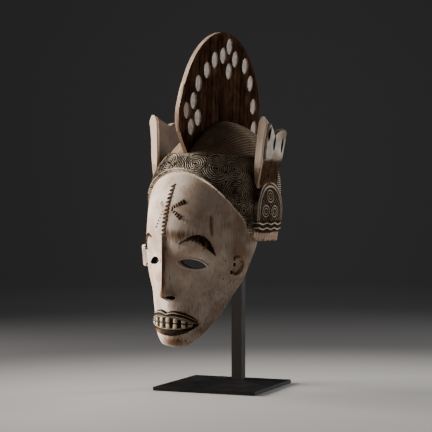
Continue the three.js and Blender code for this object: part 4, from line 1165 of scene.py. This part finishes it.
def keptBlock():
    outline = np.array(keptOutline, float)
    count = len(outline)
    sides = [np.column_stack([np.full(count, x), outline]) for x in (-170.0, 170.0)]
    faces = [list(range(count)), [count + i for i in range(count)][::-1]]
    faces += [[j, i, count + i, count + j] for i, j in neighbours(count)]
    return meshObject("keptBlock", np.concatenate(sides), faces, "inside")


# The mask put together
def buildMask():
    h = headShape
    mask = headForm("maskCarving", 0, 0.6, 312, h["columns"], h["rowsUp"], 0.4, "chalk")
    carve(mask, noseWedge(), "UNION")
    for side in (1, -1):
        x, y, z = nose["nostril"]
        # the nostrils are lined with near-black painted shade
        carve(mask, ellipsoid("nostril", (x * side, y, z), nose["nostrilSize"], "soot"), "DIFFERENCE")
    carve(mask, hairBand(), "UNION")
    carve(mask, headForm("dome", h["domeRise"], h["bandTop"] - 8, 362, 116, 40, 0, "dome"), "UNION")
    crestPiece = carve(crestPlate(), leafCutters(), "DIFFERENCE")
    carve(mask, crestPiece, "UNION")
    print("head, hair and crest joined")
    for piece in (gum(), lip(True), lip(False), teeth(), innerLip(), scarLine(), *slantingTicks()):
        carve(mask, piece, "UNION")
    for side in ("left", "right"):
        carve(mask, browPiece(side), "UNION")
        carve(mask, eyeRim(side), "UNION")
        rim, marks = ear(side)
        carve(mask, rim, "UNION")
        carve(mask, marks, "DIFFERENCE")
    carve(mask, facePits(), "DIFFERENCE")
    for side in ("left", "right"):
        finPiece = carve(finPlate(side), finCarving(side), "UNION")
        carve(finPiece, finSlits(), "DIFFERENCE")
        if side == "right":
            pattern, finPiece = finPiece, mirrored(finPiece)
            bpy.data.objects.remove(pattern)
        carve(mask, finPiece, "UNION")
    leftPanel = carve(sidePanel(), skirt(), "UNION")
    for height in panel["waveHeights"]:
        carve(leftPanel, waveRidge(height), "UNION")
    for piece in (leftPanel, bareRim()):
        twin = mirrored(piece)
        carve(mask, piece, "UNION")
        carve(mask, twin, "UNION")
    print("features joined")
    carve(mask, keptBlock(), "INTERSECT")
    carve(mask, headForm("hollow", -h["wall"], 8, 352, 60, 44, 0, "inside"), "DIFFERENCE")
    carve(mask, eyeSlit("left"), "DIFFERENCE")
    carve(mask, eyeSlit("right"), "DIFFERENCE")
    return mask


def cleanMesh(thing):
    work = bmesh.new()
    work.from_mesh(thing.data)
    bmesh.ops.dissolve_degenerate(work, dist=0.004, edges=work.edges)
    bmesh.ops.triangulate(work, faces=work.faces)
    work.to_mesh(thing.data)
    work.free()
    thing.data.validate()


mask = buildMask()
cleanMesh(mask)
for form in (blockForm, leafForm, beadForm):
    bpy.data.objects.remove(form)
print("mask carved:", len(mask.data.polygons), "faces")


# What the finishes read from the surface: ridges, strands, wear with painted light, and dirt with painted
# shade.
# Positions are in the mask's millimetres.
def isFinish(kind, name):
    return kind == slotOf(name)


# Each point's position, its bend, and which finish it belongs to
def surfacePoints(mesh):
    count = len(mesh.vertices)
    spots, normals = (arrayOf(mesh.vertices, key, 3) for key in ("co", "normal"))
    a, b = arrayOf(mesh.edges, "vertices", 2, np.int32).T
    step = spots[b] - spots[a]
    length = np.maximum((step ** 2).sum(1), 1e-4)
    neighbours = np.maximum(np.bincount(a, minlength=count) + np.bincount(b, minlength=count), 1)
    # how far the neighbours stand above the surface: more than 0 in a cut, less on an edge
    ahead = np.bincount(a, (normals[a] * step).sum(1) / length, count)
    back = np.bincount(b, -(normals[b] * step).sum(1) / length, count)
    bend = (ahead + back) / neighbours
    for _ in range(2):
        total = np.bincount(a, bend[b], count) + np.bincount(b, bend[a], count)
        bend = 0.5 * bend + 0.5 * total / neighbours
    kind = np.zeros(count, np.int32)
    corners = arrayOf(mesh.loops, "vertex_index", kind=np.int32)
    totals, slots = (arrayOf(mesh.polygons, key, kind=np.int32) for key in ("loop_total", "material_index"))
    kind[corners] = np.repeat(slots, totals)
    return spots, bend, kind


# Ridge: the carved height, or the sharpness of an edge elsewhere
def ridgeLayer(spots, bend, onBand, onPanel):
    x, y, z = spots.T
    ridge = np.clip(0.5 - bend * 1.2, 0, 1)
    ridge = np.where(onBand, 0.5 + 0.5 * hairCarving(spots), ridge)
    # more dust on the upper band, less on the right and at the temple
    dusty = np.clip(1 + 0.25 * (z - 262) / 30, 0.85, 1.2) * np.clip(0.95 + x / 160, 0.5, 1.1)
    ridge = np.where(onBand, ridge * dusty, ridge)
    overLine = z - hairlineHeight(x)
    hairline = np.maximum(overLine < 2.4, 0.75 * (np.abs(overLine - 5) < 1))
    ridge = np.where(onBand & (hairline > 0) & (y < 112), 1.9 * hairline, ridge)
    ridge = np.where(onPanel & (z > panel["foot"]), panelCarving(y, z) * 1.7, ridge)
    onWave = np.maximum(*(gauss(z, height + waveLift(y), 1.6) for height in panel["waveHeights"]))
    return np.where(onPanel & (z <= panel["foot"]), onWave * 1.3, ridge)


# Strand: millimetres across the combed lines, which run level round the band, from front to back
# over the cap, and in curls beside the foot of the crest on the mask's right
curlMiddle = (-34, 74, 318)


def strandLayer(spots, onBand, onDome):
    x, y, z = spots.T
    combed = np.degrees(np.arctan2(z - 250, np.abs(x) + 1e-3)) * 1.25
    strand = np.where(onBand, z, combed)
    curls = onDome & (x < 0) & (y < 118)
    return np.where(curls, np.linalg.norm(spots - np.array(curlMiddle), axis=1), strand)


# Dirt and painted shade: painted shade in cuts and beside raised pieces, on the mask's left side and on the
# crest's rim at its foot, and darker at the lit end of the band
def dirtAndPaintedShadeLayer(spots, bend, kind, paintedShadeLeft, behind, onBand, crestFootShadow):
    x, y = spots.T[:2]
    dirt = np.clip(bend * 1.6 - 0.12, 0, 0.9)
    dirt = np.clip(dirt + (0.12 * behind + 0.3 * paintedShadeLeft) * isFinish(kind, "chalk"), 0, 0.9)
    dirt = np.where(onBand & (y < 112), dirt + 0.35 * np.clip(-x / 30, 0, 1), dirt)
    return np.where(isFinish(kind, "rim"), np.maximum(dirt, 0.8 * crestFootShadow), dirt)


# Stains of the face, the third of them a painted shadow under the nose: x, its spread, z, its spread, how
# strong, and how far back they reach
stainsAndNoseShadow = [
    (0, 9, 84, 8, 0.6, 16), (0, 7, 200, 26, 0.6, 400),
    (9, 13, 68, 6, 0.45, 400), (52, 16, 30, 14, 0.35, 400),
]


# Wear and painted light: rubbed brown places, painted shade on the mask's left side, at its back and at the
# crest's foot, a painted shadow under the nose, and a painted highlight on the fins' front edges
def wearAndPaintedLightLayer(spots, bend, kind, paintedShadeLeft, behind, crestFootShadow):
    x, y, z = spots.T
    side = np.abs(x)
    # ridge of the nose, and under the brows
    wear = 0.95 * gauss(x, 0, 3.2) * ramp(z, 176, 156) * ramp(z, 74, 82) * (y < 12)
    wear = wear + 0.55 * gauss(z, 176, 8) * np.clip(1 - np.abs(x - 24) / 40, 0, 1)
    wear = wear + 0.55 * gauss(z, 183, 7) * ramp(x, 2, 6) * ramp(x, 58, 32)
    for middleX, acrossIt, middleZ, upIt, amount, reach in stainsAndNoseShadow:
        wear = wear + amount * gauss(x, middleX, acrossIt) * gauss(z, middleZ, upIt) * (y < reach)
    drip = gauss(x, 62 + (216 - z) * 0.07, 2.0) * ramp(z, 217, 209) * ramp(z, 176, 184)
    thread = gauss(x, 57.5, 1.2) * ramp(z, 216, 208) * ramp(z, 198, 206)
    wear = wear + 0.8 * drip + 0.5 * thread
    # the chin, and the ears' outer edges
    wear = wear + gauss(x, 8, 22) * gauss(z, 10, 10) * ramp(y, 60, 30)
    wear = wear + 0.7 * gauss(side, 97, 8) * gauss(z, 136, 16) * (bend < -0.06)
    # painted shade on the mask's left side and towards its back
    wear = wear + 0.2 * behind + 0.12 * paintedShadeLeft
    # the lower lip at one end, and the brows
    lips = 1.2 * gauss(x, -20, 16) * gauss(z, 24, 5) + 0.42 * (z > 140)
    wear = np.where(isFinish(kind, "pigment"), lips, wear)
    paint = 1.1 * ramp(y, 150, 168) * ramp(z, 335, 347) + 0.35 * gauss(z, 304, 8)
    wear = np.where(isFinish(kind, "white"), paint, wear)
    bare = isFinish(kind, "rim")
    low = ramp(z, 300, 260) * (z > 250) + 0.5 * (z < 200)
    wear = np.where(bare, np.clip(bend * 3 + 0.15 + 0.6 * low + crestFootShadow, 0, 0.9), wear)
    # the front edges of the fins get a painted highlight, paler than the rest of the bare wood
    wear = np.where(bare & (side > 90) & (y < 114) & (z > 290), wear - 0.4, wear)
    leaves = 1.2 * gauss(y, 44, 12) * gauss(z, 376, 14) + 0.7 * gauss(y, 60, 8) * gauss(z, 346, 8)
    return np.clip(np.where(isFinish(kind, "leaf"), leaves, wear), -0.4, 1.3)


def surfaceLayers(mesh):
    spots, bend, kind = surfacePoints(mesh)
    x, y, z = spots.T
    side = np.abs(x)
    onHair, onDome = isFinish(kind, "hair"), isFinish(kind, "dome")
    onPanel = onHair & (side > 96) & (y > 104) & (y < 184) & (z < 272)
    onBand = onHair & ~onPanel
    # painted shade on the mask's left side, turned from the lamps: strongest from the cheek down to the
    # jaw, and growing towards the back of that side
    paintedShadeLeft = ramp(x, 2, 22) * ramp(z, 132, 92)
    behind = ramp(y, 30, 90) * (x > 0)
    # painted shadow on the crest's front rim at its foot, above the hair
    crestFootShadow = ramp(z, 384, 348) * (side < 6) * (y < 90)
    return {
        "strand": strandLayer(spots, onBand, onDome),
        "ridge": ridgeLayer(spots, bend, onBand, onPanel),
        "combed": np.where(onDome, 1, onBand * ramp(y, 112, 142)),
        "dirt": dirtAndPaintedShadeLayer(spots, bend, kind, paintedShadeLeft, behind, onBand, crestFootShadow),
        "wear": wearAndPaintedLightLayer(spots, bend, kind, paintedShadeLeft, behind, crestFootShadow),
    }


for key, values in surfaceLayers(mask.data).items():
    layer = mask.data.attributes.new(key, "FLOAT", "POINT")
    layer.data.foreach_set("value", values.astype(np.float32))
mask.data.transform(maskToStand())
# carved ridges stop at the solid's own extent
hairsBreadth = 2e-6
lowest, highest = (np.array(corner) for corner in cadBox)
spots = np.clip(arrayOf(mask.data.vertices, "co", 3), lowest + hairsBreadth, highest - hairsBreadth)
mask.data.vertices.foreach_set("co", spots.ravel())
mask.data.set_sharp_from_angle(angle=math.radians(48))
mask.name = "maskCarving"
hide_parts("mask")
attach(mask, "root")
triangles = sum(len(p.vertices) - 2 for p in mask.data.polygons)
print("mask placed:", triangles, "triangles")

# Stand: the plate, post and bar keep their solids and get their steel


# Steel under black wax on the plate, brown patina on the post: dark and satin, with faint mill grain.
def makeSteel(name, dark, light, roughness, grainScale, metallic, grainMm=3, cloudMm=30):
    values = {"Metallic": metallic, "Specular IOR Level": 0.25}
    material, place = newFinish(name, values)
    tree = material.node_tree
    stretch = addNode(tree, "Mapping", {"Vector": place, "Scale": grainScale})
    grain = addNode(tree, "TexNoise", {"Vector": stretch, "Scale": perMetre(grainMm), "Detail": 6})
    cloud = addNode(tree, "TexNoise", {"Vector": place, "Scale": perMetre(cloudMm), "Detail": 4})
    both = addNode(tree, "Math", {0: grain, 1: 0.6, 2: cloud}, operation="MULTIPLY_ADD")
    tone = addNode(tree, "MapRange", {0: both, 1: 0.6, 2: 1.05})
    colour = addNode(tree, "Mix", {0: tone, 6: dark, 7: light}, data_type="RGBA")
    sheen = addNode(tree, "MapRange", {0: both, 1: 0.5, 2: 1.1, 3: roughness - 0.08, 4: roughness + 0.12})
    tree.links.new(sheen.outputs[0], tree.nodes["Principled BSDF"].inputs["Roughness"])
    return dressed(material, colour, grain, 0.25, 0.2)


steels = {
    "stand_plate": makeSteel("blackWaxedSteel", "#0B0B0C", "#1D1C1C", 0.5, (1, 1, 1), 0.5),
    "stand_post": makeSteel("brownPatinaSteel", "#0F0C0A", "#1F1914", 0.68, (1, 1, 0.06), 0.2),
    "stand_cradle": makeSteel("blackPaintedSteel", "#121110", "#262320", 0.5, (1, 1, 1), 0.2),
}
for node, steel in steels.items():
    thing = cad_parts[node]
    thing.data.materials.clear()
    thing.data.materials.append(steel)
print("stand finished")

# Floor, light and camera
studio = {
    "floor": "#B2B1AF", "wall": "#4A4A4B", "floorRadius": 3.2, "sweep": 1.6, "wallTop": 4.5,
    "world": "#8E9092", "worldStrength": 0.05,
    # a painted pool of light on the floor, and how far from its middle it fades into painted shade
    "lightPoolMiddle": (0.36, -0.285, 0), "shadeFrom": 0.38, "shadeTo": 1.15,
    "camera": (0.818, -2.037, 0.282), "azimuth": 22.2, "lens": 110.8,
}
# name, place, what it is aimed at, size, watts, colour and spread in degrees
lamps = [
    ("keyLeft", (-2.02, -0.42, 0.7), (0, 0, 0.36), (1.5, 0.9), 43, "#FFF8F2", 80),
    ("warmFill", (2.2, -1.2, 0.6), (0, 0, 0.3), (1.2, 1.2), 0.6, "#FFBE8E", 120),
    ("rimBehind", (1.35, 1.65, 0.75), (0.05, 0, 0.38), (0.4, 1.0), 15, "#FFFFFF", 120),
    ("topSoft", (-0.2, 0.2, 2.1), (0, 0, 0.2), (1.2, 1.2), 1.2, "#FFFFFF", 120),
    ("wallLamp", (-0.4, 1.4, 2.6), (-1.4, 3.9, 0.3), (1.0, 1.0), 22, "#FFFFFF", 140),
]


def softLight(name, place, target, size, power, colour, spread):
    data = bpy.data.lights.new(name, "AREA")
    data.shape = "RECTANGLE"
    data.size, data.size_y = size
    data.energy = power
    data.spread = math.radians(spread)
    data.color = linear(colour)[:3]
    lamp = linked(name, data)
    lamp.location = place
    lamp.rotation_euler = (Vector(target) - Vector(place)).to_track_quat("-Z", "Y").to_euler()


def makeStudio():
    # a round floor that sweeps up into a wall, so no horizon shows from any side
    turn = fullTurn(96)
    bend = np.linspace(0, math.pi / 2, 14)
    sweep, middle = studio["sweep"], studio["floorRadius"]
    radius = np.concatenate([[0.5, 1.5], middle + sweep * np.sin(bend), [middle + sweep]])[:, None]
    height = np.concatenate([[0, 0], sweep * (1 - np.cos(bend)), [studio["wallTop"]]])[:, None]
    rings = np.stack([radius * np.cos(turn), radius * np.sin(turn), height + 0 * turn], -1)
    faces = gridQuads(len(radius), 96, wrap=True, flip=True)
    centre = len(radius) * 96
    faces += [[centre, i, j] for i, j in neighbours(96)]
    mesh = bpy.data.meshes.new("floor")
    mesh.from_pydata(rings.reshape(-1, 3).tolist() + [[0, 0, 0]], [], faces)
    mesh.polygons.foreach_set("use_smooth", np.ones(len(faces), bool))
    floor = linked("floor", mesh)
    # matt board with a painted pool of light: pale round the stand, and painted shade in grey farther off
    # and up the wall
    material, place = newFinish("paleFloor", {"Roughness": 0.8})
    tree = material.node_tree
    apart = {0: place, 1: studio["lightPoolMiddle"]}
    away = addNode(tree, "VectorMath", apart, operation="DISTANCE").outputs["Value"]
    fade = {0: away, 1: studio["shadeFrom"], 2: studio["shadeTo"]}
    shade = addNode(tree, "MapRange", fade, interpolation_type="SMOOTHSTEP")
    colour = addNode(tree, "Mix", {0: shade, 6: studio["floor"], 7: studio["wall"]}, data_type="RGBA")
    tree.links.new(colour.outputs[2], tree.nodes["Principled BSDF"].inputs["Base Color"])
    mesh.materials.append(material)
    world = bpy.data.worlds.new("studio")
    world.use_nodes = True
    background = world.node_tree.nodes["Background"]
    background.inputs[0].default_value = linear(studio["world"])
    background.inputs[1].default_value = studio["worldStrength"]
    bpy.context.scene.world = world
    for lamp in lamps:
        softLight(*lamp)
    data = bpy.data.cameras.new("camera")
    data.lens = studio["lens"]
    data.sensor_width = 36
    data.clip_start = 0.05
    camera = linked("camera", data)
    camera.location = studio["camera"]
    camera.rotation_euler = (math.pi / 2, 0, math.radians(studio["azimuth"]))
    bpy.context.scene.camera = camera


makeStudio()
print("studio ready")
